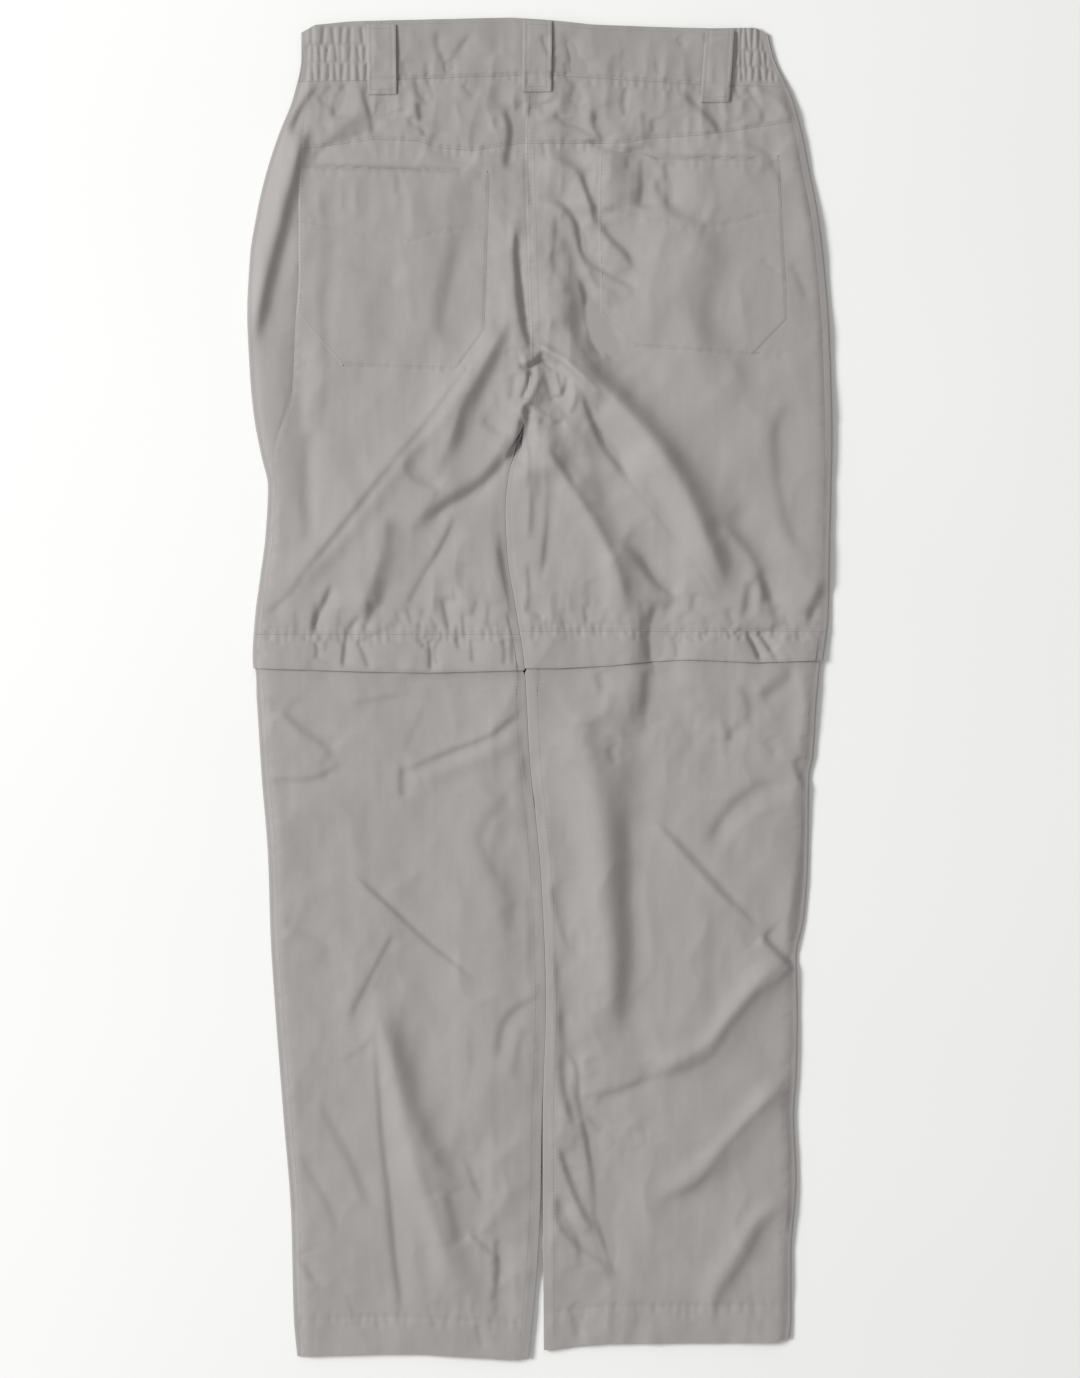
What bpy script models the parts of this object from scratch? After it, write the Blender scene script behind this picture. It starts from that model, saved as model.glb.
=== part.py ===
"""Zip-off walking trousers, laid flat on a table with the back up and the waist towards +Y.

Every length below is in millimetres, and finish() turns them into metres. X runs to the right of
someone who looks down on the trousers, Z is up from the table, and the origin is the middle of the
outline on the table. Each leg is two layers of cloth: a front panel that lies on the table and rolls
round both edges of the leg, and back panels that close it on top. surface() gives the height of the
upper face anywhere, and every back piece follows it.
"""

import math
from collections import namedtuple

import bmesh
import bpy
import numpy as np

# Driving sizes, mm
CLOTH = 1.2
UPPER_WALL = 1.3
SEAM_GAP = 0.3
LAY_GAP = 0.35
ROLL = 3.0
LAP = 3.2
KNEE_STEP = 1.8
UNDER_FLAP = 14.0
ZIP_INSET = 1.0
WAIST_LIFT = 1.5
LOWEST_BODY = 4.3
LOWEST_KNEE = 7.5

CROTCH_Y = 209
CROTCH_BLEND = 34
WAIST_Y = 474
HEM_Y = -520
EDGE_CALM = 32
HEM_FOLDED = 0.2
WAIST_LIFT_FROM = 430
WAIST_LIFT_RUN = 28
KNEE_HIGH = 80
KNEE_LOW = -20
KNEE_RUN = 30
SINK_FROM = 24
SINK_RUN = 20

LOOP_WIDTH = 22.6
LOOP_GAP = 0.7
BUTTON_RADIUS = 8.5
BUTTON_THICKNESS = 1.2
BUTTON_Y = 497
BUTTON_ASIDE = 14
FLY_WIDTH = 24
FLY_TOP_Y = 426
FLY_FOOT_Y = 296

ELASTIC_GATHER = 0.8
ELASTIC_WAVE = 5.5
ELASTIC_ROWS = 6
STITCHED_SHARE = 0.3
GATHERS_KNEE = 0.9

# Grid steps
CURVE_STEPS = 12
SETTLE = 4
YOKE_ROWS = 4
THIGH_ROWS = [2, 12, 12]
CALF_ROWS = [1, 22]
CALF_COLUMNS = 14
GATHER_COLUMNS = 28
FLAT_ROLL = 0.75

# Outer edge of each leg seen from above, from waist to hem
Edge = namedtuple("Edge", "y x")
LEFT_OUTER = (
    Edge(524, -186), Edge(493, -186), Edge(462, -192), Edge(431, -204), Edge(400, -214),
    Edge(369, -221), Edge(337, -226), Edge(291, -228), Edge(244, -226), Edge(213, -223),
    Edge(181, -217), Edge(158, -212), Edge(119, -214), Edge(88, -218), Edge(57, -222),
    Edge(25, -224), Edge(-6, -221), Edge(-68, -217), Edge(-131, -212), Edge(-193, -210),
    Edge(-255, -206), Edge(-333, -200), Edge(-411, -194), Edge(-489, -192), Edge(-523, -189),
)
RIGHT_OUTER = (
    Edge(524, 175), Edge(493, 182), Edge(462, 196), Edge(431, 205), Edge(400, 211),
    Edge(369, 217), Edge(337, 221), Edge(291, 225), Edge(244, 227), Edge(197, 228),
    Edge(150, 227), Edge(103, 226), Edge(57, 225), Edge(25, 221), Edge(-6, 216),
    Edge(-53, 213), Edge(-68, 210), Edge(-131, 209), Edge(-177, 206), Edge(-209, 200),
    Edge(-255, 201), Edge(-302, 200), Edge(-333, 198), Edge(-380, 200), Edge(-443, 196),
    Edge(-489, 196), Edge(-523, 192),
)

# Middle seam above the crotch, and the inner edge of each leg below it
CENTRE = (Edge(524, -3), Edge(475, -10), Edge(420, -12), Edge(342, -10), Edge(264, -8), Edge(209, -12))
LEFT_INNER = CENTRE + (
    Edge(186, -19), Edge(163, -25), Edge(139, -27), Edge(100, -25), Edge(69, -20), Edge(16, -12),
    Edge(-56, -8), Edge(-103, -3), Edge(-149, 1), Edge(-243, 4.5), Edge(-337, 1.5), Edge(-391, 0.5),
    Edge(-446, -2), Edge(-485, -5.5), Edge(-523, -9),
)
RIGHT_INNER = CENTRE + (
    Edge(186, -19), Edge(163, -25), Edge(139, -27), Edge(100, -25), Edge(69, -20), Edge(16, -12),
    Edge(-56, -8), Edge(-103, -3), Edge(-149, 1), Edge(-243, 4.5), Edge(-337, 2), Edge(-523, 3),
)

# How far the outer seam lies inside the outer edge
LEFT_OUTSEAM = (
    Edge(524, 9), Edge(475, 10), Edge(403, 26), Edge(316, 39), Edge(280, 37), Edge(227, 31),
    Edge(193, 14), Edge(165, 6.2), Edge(-523, 6.2),
)
RIGHT_OUTSEAM = (Edge(524, 6.2), Edge(-523, 6.2))

# Lines that the pocket's two long edges follow, kept on down the panel
LEFT_POCKET_NEAR = (Edge(430, -41), Edge(293, -43), Edge(150, -47), Edge(40, -50))
RIGHT_POCKET_NEAR = (Edge(430, 48), Edge(293, 45), Edge(40, 46))
RIGHT_POCKET_FAR = (Edge(430, 188), Edge(293, 193), Edge(40, 200))

# Seams and borders that run across, from left to right
Cross = namedtuple("Cross", "x y")
TOP_EDGE = (
    Cross(-187, 511), Cross(-175, 517), Cross(-148, 520), Cross(-23, 523), Cross(8, 521),
    Cross(39, 517.5), Cross(133, 514.5), Cross(168, 515), Cross(178, 510),
)
WAIST_SEAM = (
    Cross(-190, 473), Cross(-109, 475), Cross(-16, 478), Cross(12, 478), Cross(125, 471), Cross(185, 469),
)
LEFT_YOKE_SEAM = (
    Cross(-187, 420), Cross(-130, 428), Cross(-97, 427), Cross(-75, 421), Cross(-51, 419), Cross(-11, 426),
)
RIGHT_YOKE_SEAM = (Cross(4, 425), Cross(67, 425), Cross(83, 429), Cross(125, 431), Cross(192, 441))

# Height of the two layers where nothing is folded
Stack = namedtuple("Stack", "y height")
STACK = (
    Stack(524, 5.4), Stack(475, 5.6), Stack(440, 7.0), Stack(300, 7.6), Stack(60, 8.0),
    Stack(10, 8.0), Stack(-60, 6.8), Stack(-300, 6.4), Stack(-460, 5.6), Stack(-524, 5.2),
)

# Broad swells, and folds that run from start past bend to end. left and right are a fold's reach on
# the left and right hand of the way it runs, and a height below zero is a trough.
Mound = namedtuple("Mound", "name at reach height")
MOUNDS = (
    Mound("crotch", (17, 221), (56, 56), 5.0),
    Mound("left seat", (-109, 319), (66, 70), 2.0),
    Mound("right seat", (117, 326), (70, 70), 2.5),
    Mound("left thigh", (-109, 163), (74, 86), 2.0),
    Mound("right thigh", (117, 147), (70, 86), 2.0),
    Mound("left calf", (-109, -126), (66, 117), 1.4),
    Mound("right calf", (117, -259), (62, 125), 1.4),
)

Fold = namedtuple("Fold", "name start bend end left right height")
FOLDS = (
    Fold("left side roll", (-181, 443), (-207, 354), (-225, 264), 8, 18, 4.5),
    Fold("left seat fold", (-27, 289), (-45, 242), (-73, 181), 9, 18, 6.0),
    Fold("left centre ridge", (-20, 381), (-22, 326), (-17, 268), 7, 14, 3.5),
    Fold("left centre trough", (-15, 362), (-13, 311), (-10, 258), 6, 7, -3.5),
    Fold("left crotch trough", (-16, 216), (-24, 184), (-41, 163), 7, 7, -5.0),
    Fold("left thigh trough", (-35, 167), (-64, 150), (-100, 119), 9, 10, -3.5),
    Fold("left long diagonal", (-31, 264), (-109, 170), (-209, 47), 22, 9, 3.0),
    Fold("left knee fold", (-119, 138), (-126, 100), (-148, 60), 9, 20, 3.0),
    Fold("left side hollow", (-184, 280), (-183, 186), (-187, 100), 12, 14, -1.6),
    Fold("right crotch fold", (4, 272), (78, 216), (145, 66), 13, 24, 8.5),
    Fold("right inner fold", (-2, 194), (36, 138), (66, 64), 9, 15, 3.5),
    Fold("right fan trough", (56, 128), (84, 99), (105, 66), 8, 8, -2.0),
    Fold("right seat hollow", (22, 342), (29, 289), (53, 247), 10, 9, -2.5),
    Fold("right seat curve", (-3, 381), (33, 364), (69, 295), 9, 9, 2.5),
    Fold("right pocket hollow", (125, 373), (131, 303), (154, 221), 14, 14, -2.5),
    Fold("right side hollow", (190, 231), (186, 178), (209, 103), 10, 10, -2.0),
    Fold("left calf brow", (-11, -8), (-47, -31), (-105, -54), 7, 14, 2.4),
    Fold("left calf inner fold", (-12, -64), (-44, -117), (-20, -174), 9, 12, -2.6),
    Fold("left calf ankle hollow", (0, -243), (-25, -259), (-31, -313), 9, 9, -2.0),
    Fold("left calf side fold", (-197, -266), (-170, -337), (-140, -411), 9, 12, 2.2),
    Fold("left calf pleat", (-126, -231), (-95, -343), (-61, -455), 10, 22, 5.0),
    Fold("left calf pleat foot", (-129, -266), (-120, -383), (-106, -500), 8, 8, -1.6),
    Fold("right calf ridge", (25, -9), (55, -126), (50, -278), 13, 20, 7.0),
    Fold("right calf knee hollow", (37, -21), (56, -31), (75, -43), 8, 8, -2.5),
    Fold("right calf curve", (203, -71), (153, -92), (125, -134), 10, 16, 3.0),
    Fold("right calf upper sweep", (192, -196), (153, -245), (94, -294), 10, 20, 4.5),
    Fold("right calf middle sweep", (190, -294), (151, -343), (103, -391), 10, 18, 3.8),
    Fold("right calf lower sweep", (186, -396), (158, -430), (133, -489), 10, 16, 3.6),
    Fold("right inseam trough", (18, -204), (21, -282), (32, -352), 8, 8, -2.6),
)

# One leg: which way is outward, its edges, its pocket's borders and the seams across it
Leg = namedtuple(
    "Leg",
    "tag outward outer inner outseam near far pocket_top pocket_foot yoke knee flap hem cut_near cut_far",
)
LEFT = Leg(
    "left", -1, LEFT_OUTER, LEFT_INNER, LEFT_OUTSEAM, LEFT_POCKET_NEAR, None,
    (Cross(-188, 406), Cross(-41, 402)), (Cross(-188, 253), Cross(-41, 248)),
    LEFT_YOKE_SEAM, 42.5, 14.5,
    (Cross(-189, -520), Cross(-130, -518), Cross(-100, -518), Cross(-23, -522.5), Cross(-9, -521)),
    3, 4,
)
RIGHT = Leg(
    "right", 1, RIGHT_OUTER, RIGHT_INNER, RIGHT_OUTSEAM, RIGHT_POCKET_NEAR, RIGHT_POCKET_FAR,
    (Cross(48, 413), Cross(188, 411)), (Cross(48, 268), Cross(193, 259)),
    RIGHT_YOKE_SEAM, 44.5, 19.0,
    (Cross(3, -515), Cross(24, -512), Cross(47, -510), Cross(180, -509), Cross(192, -506)),
    3, 3,
)

Loop = namedtuple("Loop", "name x_top x_foot y_top y_foot")
BACK_LOOPS = (
    Loop("left", -123.5, -123.0, 517, 463),
    Loop("centre", -2.0, -2.5, 520, 465),
    Loop("right", 140.0, 136.0, 512, 457),
)
FRONT_LOOPS = (Loop("left", -78, -78, 517, 463), Loop("right", 66, 66, 514, 461))
BAND_LEFT_X = -123.5
BAND_RIGHT_X = 138.0
FRONT_LEFT_X = -162.0
FRONT_RIGHT_X = 156.0

# Colours of the cloth and of the trims, linear
CLOTH_COLOUR = (0.352, 0.332, 0.323)
POCKET_COLOUR = (0.342, 0.323, 0.314)
TRIM_COLOUR = (0.30, 0.285, 0.275)
BUTTON_COLOUR = (0.20, 0.19, 0.185)


def curve_through(table, place):
    """A smooth line through a table's rows that never swings past them, as x for the given y."""
    spots = np.array([row.y for row in table][::-1], float)
    values = np.array([row.x for row in table][::-1], float)
    secants = np.diff(values) / np.diff(spots)
    product = secants[:-1] * secants[1:]
    total = np.where(product > 0, secants[:-1] + secants[1:], 1.0)
    slopes = np.concatenate([secants[:1], np.where(product > 0, 2 * product / total, 0.0), secants[-1:]])
    place = np.clip(np.asarray(place, float), spots[0], spots[-1])
    cell = np.clip(np.searchsorted(spots, place, side="right") - 1, 0, len(spots) - 2)
    length = spots[cell + 1] - spots[cell]
    t = (place - spots[cell]) / length
    return (
        values[cell] * (2 * t**3 - 3 * t**2 + 1)
        + slopes[cell] * length * (t**3 - 2 * t**2 + t)
        + values[cell + 1] * (3 * t**2 - 2 * t**3)
        + slopes[cell + 1] * length * (t**3 - t**2)
    )


def down(table):
    """A line that runs down the garment, as x for a given y."""
    return lambda y: curve_through(table, y)


def across(table, shift=0.0):
    """A line that runs across the garment, as y for a given x."""
    return lambda x: np.interp(x, [row.x for row in table], [row.y for row in table]) + shift


def level(y):
    """A straight line across the garment, as y for any x."""
    return lambda x: np.full(np.shape(x), float(y))


def ease(t):
    """From 0 to 1 with soft ends."""
    t = np.clip(t, 0.0, 1.0)
    return t * t * (3.0 - 2.0 * t)


def leg_share(y):
    """0 above the crotch, where the two halves are one body, and 1 on the separate legs."""
    return ease((CROTCH_Y - np.asarray(y, float)) / CROTCH_BLEND)


def fold_relief(fold, x, y):
    """What one fold adds to the height at each place."""
    start, bend, end = (np.array(point, float) for point in (fold.start, fold.bend, fold.end))
    control = 2 * bend - (start + end) / 2
    t = np.linspace(0, 1, CURVE_STEPS + 1)[:, None]
    spine = (1 - t) ** 2 * start + 2 * t * (1 - t) * control + t**2 * end
    nearest = np.full(x.shape, np.inf)
    left_hand = np.zeros(x.shape)
    along = np.zeros(x.shape)
    for step in range(CURVE_STEPS):
        run = spine[step + 1] - spine[step]
        from_x, from_y = x - spine[step][0], y - spine[step][1]
        share = np.clip((from_x * run[0] + from_y * run[1]) / (run @ run), 0, 1)
        away = np.hypot(from_x - share * run[0], from_y - share * run[1])
        closer = away < nearest
        nearest = np.where(closer, away, nearest)
        left_hand = np.where(closer, run[0] * from_y - run[1] * from_x, left_hand)
        along = np.where(closer, (step + share) / CURVE_STEPS, along)
    reach = np.where(left_hand > 0, fold.left, fold.right)
    fade = np.minimum(1.0, 6.0 * along * (1.0 - along))
    return fold.height * fade * np.exp(-((nearest / reach) ** 2))


def surface(x, y):
    """Height of the cloth's upper face above the table. Folds die out at the waist, and nearly at the hem."""
    x, y = np.broadcast_arrays(np.asarray(x, float), np.asarray(y, float))
    relief = np.zeros(x.shape)
    for mound in MOUNDS:
        away = ((x - mound.at[0]) / mound.reach[0]) ** 2 + ((y - mound.at[1]) / mound.reach[1]) ** 2
        relief = relief + mound.height * np.exp(-away)
    for fold in FOLDS:
        relief = relief + fold_relief(fold, x, y)
    at_hem = HEM_FOLDED + (1 - HEM_FOLDED) * ease((y - HEM_Y) / (2 * EDGE_CALM))
    calm = ease((WAIST_Y - y) / EDGE_CALM) * at_hem
    rest = np.interp(-y, [-row.y for row in STACK], [row.height for row in STACK])
    at_knee = ease((y - KNEE_LOW) / KNEE_RUN) * ease((KNEE_HIGH - y) / KNEE_RUN)
    lowest = LOWEST_BODY + (LOWEST_KNEE - LOWEST_BODY) * at_knee
    return np.maximum(rest + relief * calm, lowest)


def spaced(lines, steps, index, place):
    """Where each grid line lies: evenly spaced steps between each two neighbouring lines."""
    bounds = np.cumsum([0, *steps])
    span = np.clip(np.searchsorted(bounds, index, side="right") - 1, 0, len(steps) - 1)
    share = (index - bounds[span]) / np.asarray(steps)[span]
    values = np.array([line(place) for line in lines])
    low = np.take_along_axis(values, span[None], 0)[0]
    high = np.take_along_axis(values, span[None] + 1, 0)[0]
    return low + (high - low) * share


def panel_grid(columns, column_steps, rows, row_steps):
    """x and y of a grid whose lines follow the given lines down and across the garment."""
    row, column = np.meshgrid(
        np.arange(sum(row_steps) + 1), np.arange(sum(column_steps) + 1), indexing="ij"
    )
    x = np.zeros(row.shape)
    y = spaced(rows, row_steps, row, x)
    for _ in range(SETTLE):
        x = spaced(columns, column_steps, column, y)
        y = spaced(rows, row_steps, row, x)
    return x, y


def points(x, y, z):
    """One array of points from three of coordinates."""
    return np.stack(np.broadcast_arrays(x, y, z), axis=-1)


def material(name, colour, roughness):
    """The finish of one piece."""
    made = bpy.data.materials.new(name)
    made.use_nodes = True
    shader = made.node_tree.nodes["Principled BSDF"]
    shader.inputs["Base Color"].default_value = (*colour, 1.0)
    shader.inputs["Roughness"].default_value = roughness
    shader.inputs["Metallic"].default_value = 0.0
    return made


def finish(bm, name, colour, roughness=0.85):
    """A mesh in millimetres becomes a named object in metres, with its own material."""
    bmesh.ops.recalc_face_normals(bm, faces=bm.faces)
    if bm.calc_volume(signed=True) < 0:
        bmesh.ops.reverse_faces(bm, faces=bm.faces)
    bmesh.ops.scale(bm, verts=bm.verts, vec=(0.001, 0.001, 0.001))
    mesh = bpy.data.meshes.new(name)
    bm.to_mesh(mesh)
    bm.free()
    mesh.shade_smooth()
    mesh.set_sharp_from_angle(angle=math.radians(50))
    made = bpy.data.objects.new(name, mesh)
    made.data.materials.append(material(name, colour, roughness))
    bpy.data.collections["zip_off_trousers"].objects.link(made)
    return made


def cut_corner(bm, at, steps, row_way, column_way, row, column):
    """Cut the corner of a grid off along a diagonal that passes through its points."""
    for step in range(steps):
        first = at[row + row_way * step, column + column_way * (steps - step)]
        second = at[row + row_way * (step + 1), column + column_way * (steps - step - 1)]
        bmesh.ops.connect_verts(bm, verts=[first, second])
    outside = [
        at[row + row_way * i, column + column_way * j] for i in range(steps) for j in range(steps - i)
    ]
    bmesh.ops.delete(bm, geom=outside, context="VERTS")


def cloth_wall(name, outer, inner, colour=CLOTH_COLOUR, corners=()):
    """A grid of cloth laid on the outer points, and extruded to its inner ones for the wall."""
    rows, columns = outer.shape[0] - 1, outer.shape[1] - 1
    bm = bmesh.new()
    bmesh.ops.create_grid(bm, x_segments=columns, y_segments=rows, size=0.5)

    def spot(vert):
        return round((vert.co.y + 0.5) * rows), round((vert.co.x + 0.5) * columns)

    at = {spot(vert): vert for vert in bm.verts}
    for corner in corners:
        cut_corner(bm, at, *corner)
    outside = bm.verts[:]
    extruded = bmesh.ops.extrude_face_region(bm, geom=bm.faces[:])["geom"]
    inside = [item for item in extruded if isinstance(item, bmesh.types.BMVert)]
    for verts, places in ((outside, outer), (inside, inner)):
        for vert in verts:
            vert.co = places[spot(vert)]
    return finish(bm, name, colour)


def outseam_line(leg, gap=SEAM_GAP / 2):
    """Where the back panels end at the outer seam."""
    return lambda y: down(leg.outer)(y) - leg.outward * (down(leg.outseam)(y) + gap)


def inseam_line(leg):
    """Where the back panels end at the inner seam, or at the middle seam above the crotch."""
    reach = ROLL + LAP + SEAM_GAP
    return lambda y: down(leg.inner)(y) + leg.outward * (SEAM_GAP / 2 + reach * leg_share(y))


def back_columns(leg):
    """Grid lines down the seat and thigh, from the middle outwards, and the steps between them."""
    if leg.far is None:
        return [inseam_line(leg), down(leg.near), outseam_line(leg)], [3, 12]
    return [inseam_line(leg), down(leg.near), down(leg.far), outseam_line(leg)], [4, 11, 2]


def back_yoke(leg):
    """The shaped band between waistband and seat."""
    columns, steps = back_columns(leg)
    rows = [across(WAIST_SEAM, -SEAM_GAP / 2), across(leg.yoke, SEAM_GAP / 2)]
    x, y = panel_grid(columns, steps, rows, [YOKE_ROWS])
    z = surface(x, y)
    cloth_wall(f"back_yoke_{leg.tag}", points(x, y, z), points(x, y, z - UPPER_WALL))


def back_thigh(leg):
    """The seat and thigh, from the yoke to the knee, and the pocket that lies on it."""
    columns, steps = back_columns(leg)
    rows = [
        across(leg.yoke, -SEAM_GAP / 2), across(leg.pocket_top), across(leg.pocket_foot),
        level(leg.knee + SEAM_GAP / 2),
    ]
    x, y = panel_grid(columns, steps, rows, THIGH_ROWS)
    z = surface(x, y)
    cloth_wall(f"back_thigh_{leg.tag}", points(x, y, z), points(x, y, z - UPPER_WALL))

    top, foot = THIGH_ROWS[0], THIGH_ROWS[0] + THIGH_ROWS[1]
    near, far = steps[0], steps[0] + steps[1]
    patch = (slice(top, foot + 1), slice(near, far + 1))
    px, py, pz = x[patch], y[patch], z[patch]
    corners = (
        (leg.cut_near, -1, 1, foot - top, 0),
        (leg.cut_far, -1, -1, foot - top, far - near),
    )
    cloth_wall(
        f"back_pocket_{leg.tag}", points(px, py, pz + LAY_GAP + CLOTH), points(px, py, pz + LAY_GAP),
        POCKET_COLOUR, corners,
    )


def back_calf(leg):
    """The lower leg's back, whose top edge lies under the knee flap."""
    rows = [level(leg.flap + UNDER_FLAP), level(leg.flap), across(leg.hem)]
    x, y = panel_grid([inseam_line(leg), outseam_line(leg)], [CALF_COLUMNS], rows, CALF_ROWS)
    z = surface(x, y) - knee_drop(leg, y)
    cloth_wall(f"back_calf_{leg.tag}", points(x, y, z), points(x, y, z - UPPER_WALL))


def knee_drop(leg, y):
    """How far the lower leg lies below the flap: its full step under the flap, and none further down."""
    return KNEE_STEP * ease((y - leg.flap + SINK_FROM) / SINK_RUN)


def waist_lift(y):
    """How far the front stands off the table at the waist, where its loops lie under it."""
    return WAIST_LIFT * ease((y - WAIST_LIFT_FROM) / WAIST_LIFT_RUN)


def knee_flap_back(leg):
    """The gathered flap that covers the knee zip, over the back of the leg."""
    rows = [level(leg.knee - SEAM_GAP / 2), level(leg.flap + UNDER_FLAP), level(leg.flap)]
    x, y = panel_grid([inseam_line(leg), outseam_line(leg)], [GATHER_COLUMNS], rows, [1, 1])
    z = surface(x, y)
    chord = (z[:, :-2:2] + z[:, 2::2]) / 2
    gather = GATHERS_KNEE * np.array([1.0, 0.8, 0.0])[:, None]
    z[:, 1::2] = np.maximum(z[:, 1::2], chord) + gather
    cloth_wall(f"knee_flap_back_{leg.tag}", points(x, y, z), points(x, y, z - CLOTH))


def wrap_section(leg, y, span, t, shift, wall):
    """x and z of a front piece's points, on its outer face or a wall's thickness inside it."""
    out = leg.outward
    lift, drop, inset = shift(y)
    middle = down(leg.inner)(y) + out * SEAM_GAP / 2
    turn_out = down(leg.outer)(y) - out * (inset + ROLL)
    turn_in = middle + out * (inset + ROLL)
    seam = down(leg.outer)(y) - out * (down(leg.outseam)(y) - SEAM_GAP / 2)
    inseam = middle + out * (ROLL + LAP)
    share = leg_share(y)
    floor = lift + wall
    ring = ROLL - wall
    angle = math.pi * (0.5 - t)

    def roll(turn, way):
        top = surface(turn, y) - drop
        return (
            turn + way * ring * np.cos(angle),
            (top + lift) / 2 + ((top - lift) / 2 - wall) * np.sin(angle) * way * out,
        )

    outer_lap = seam + (turn_out - seam) * t
    inner_lap = turn_in + (inseam - turn_in) * t
    outer_roll, inner_roll = roll(turn_out, out), roll(turn_in, -out)
    flat_roll = turn_in - out * ROLL * FLAT_ROLL * t
    flat_lap = turn_in - out * ROLL * (FLAT_ROLL + (1 - FLAT_ROLL) * t)
    x = np.choose(span, (
        outer_lap,
        outer_roll[0],
        turn_out + (turn_in - turn_out) * t,
        flat_roll + (inner_roll[0] - flat_roll) * share,
        flat_lap + (inner_lap - flat_lap) * share,
    ))
    z = np.choose(span, (
        surface(outer_lap, y) - drop - wall,
        outer_roll[1],
        floor,
        floor + (inner_roll[1] - floor) * share,
        floor + (surface(inner_lap, y) - drop - wall - floor) * share,
    ))
    return x, z


def front_wrap(leg, rows, row_steps, lap_steps, shift):
    """A front piece's points, outside and in: a lap on top, the outer roll, the table side, and back up."""
    spans = (lap_steps, 3, 3, 3, 1)
    bounds = np.cumsum([0, *spans])
    row, column = np.meshgrid(np.arange(sum(row_steps) + 1), np.arange(bounds[-1] + 1), indexing="ij")
    span = np.clip(np.searchsorted(bounds, column, side="left") - 1, 0, len(spans) - 1)
    t = (column - bounds[span]) / np.asarray(spans)[span]
    y = spaced(rows, row_steps, row, np.zeros(row.shape))
    for _ in range(SETTLE):
        x, z = wrap_section(leg, y, span, t, shift, 0.0)
        y = spaced(rows, row_steps, row, x)
    outer = wrap_section(leg, y, span, t, shift, 0.0)
    inner = wrap_section(leg, y, span, t, shift, CLOTH)
    return [points(x, y, z) for x, z in (outer, inner)]


def front_pieces(leg):
    """The front of one leg: thigh, flap and lower leg."""
    def at_waist(y):
        return waist_lift(y), 0 * y, 0 * y

    def plain(y):
        return 0 * y, 0 * y, 0 * y

    def sinking(y):
        return (knee_drop(leg, y),) * 3

    lap_steps = 4 if leg.far is None else 1
    gap = SEAM_GAP / 2
    under_flap = level(leg.flap + UNDER_FLAP)
    body_rows = [
        across(WAIST_SEAM, -gap), across(leg.yoke), across(leg.pocket_top), across(leg.pocket_foot),
        level(leg.knee + gap),
    ]
    pieces = (
        ("front_thigh", body_rows, [YOKE_ROWS, *THIGH_ROWS], lap_steps, at_waist),
        ("knee_flap_front", [level(leg.knee - gap), under_flap, level(leg.flap)], [1, 1], 1, plain),
        ("front_calf", [under_flap, level(leg.flap), across(leg.hem)], CALF_ROWS, 1, sinking),
    )
    for name, *sizes in pieces:
        cloth_wall(f"{name}_{leg.tag}", *front_wrap(leg, *sizes))


def knee_zip(leg):
    """The plain zip band under the flaps, all round the leg and open where it starts, at the outer seam."""
    def stepped(y):
        return (0 * y + KNEE_STEP,) * 3

    rows = [level(leg.knee - ZIP_INSET), level(leg.flap + UNDER_FLAP + SEAM_GAP)]
    x, y = panel_grid([inseam_line(leg), outseam_line(leg)], [CALF_COLUMNS], rows, [1])
    z = surface(x, y) - KNEE_STEP
    back = points(x, y, z), points(x, y, z - CLOTH)
    shell = [np.concatenate(pair, axis=1) for pair in zip(front_wrap(leg, rows, [1], 1, stepped), back)]
    cloth_wall(f"knee_zip_{leg.tag}", *shell, TRIM_COLOUR)


def waistband():
    """The plain back of the waistband, the plain fronts, and the gathered elastic at each side."""
    gap = SEAM_GAP / 2
    rows = [across(TOP_EDGE), across(WAIST_SEAM, gap)]
    middle = down(CENTRE)
    spans = (
        ("waistband_back", lambda y: 0 * y + BAND_LEFT_X + gap, lambda y: 0 * y + BAND_RIGHT_X - gap, 24),
        ("waistband_front_left", lambda y: 0 * y + FRONT_LEFT_X + gap, lambda y: middle(y) - gap, 6),
        ("waistband_front_right", lambda y: middle(y) + gap, lambda y: 0 * y + FRONT_RIGHT_X - gap, 6),
    )
    for name, left, right, steps in spans:
        x, y = panel_grid([left, right], [steps], rows, [3])
        if name == "waistband_back":
            z = surface(x, y)
            cloth_wall(name, points(x, y, z), points(x, y, z - UPPER_WALL))
        else:
            cloth_wall(name, points(x, y, WAIST_LIFT), points(x, y, WAIST_LIFT + CLOTH))
    waist_elastic("left", LEFT_OUTER, -1, BAND_LEFT_X - gap, FRONT_LEFT_X - gap, rows)
    waist_elastic("right", RIGHT_OUTER, 1, BAND_RIGHT_X + gap, FRONT_RIGHT_X + gap, rows)


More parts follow.
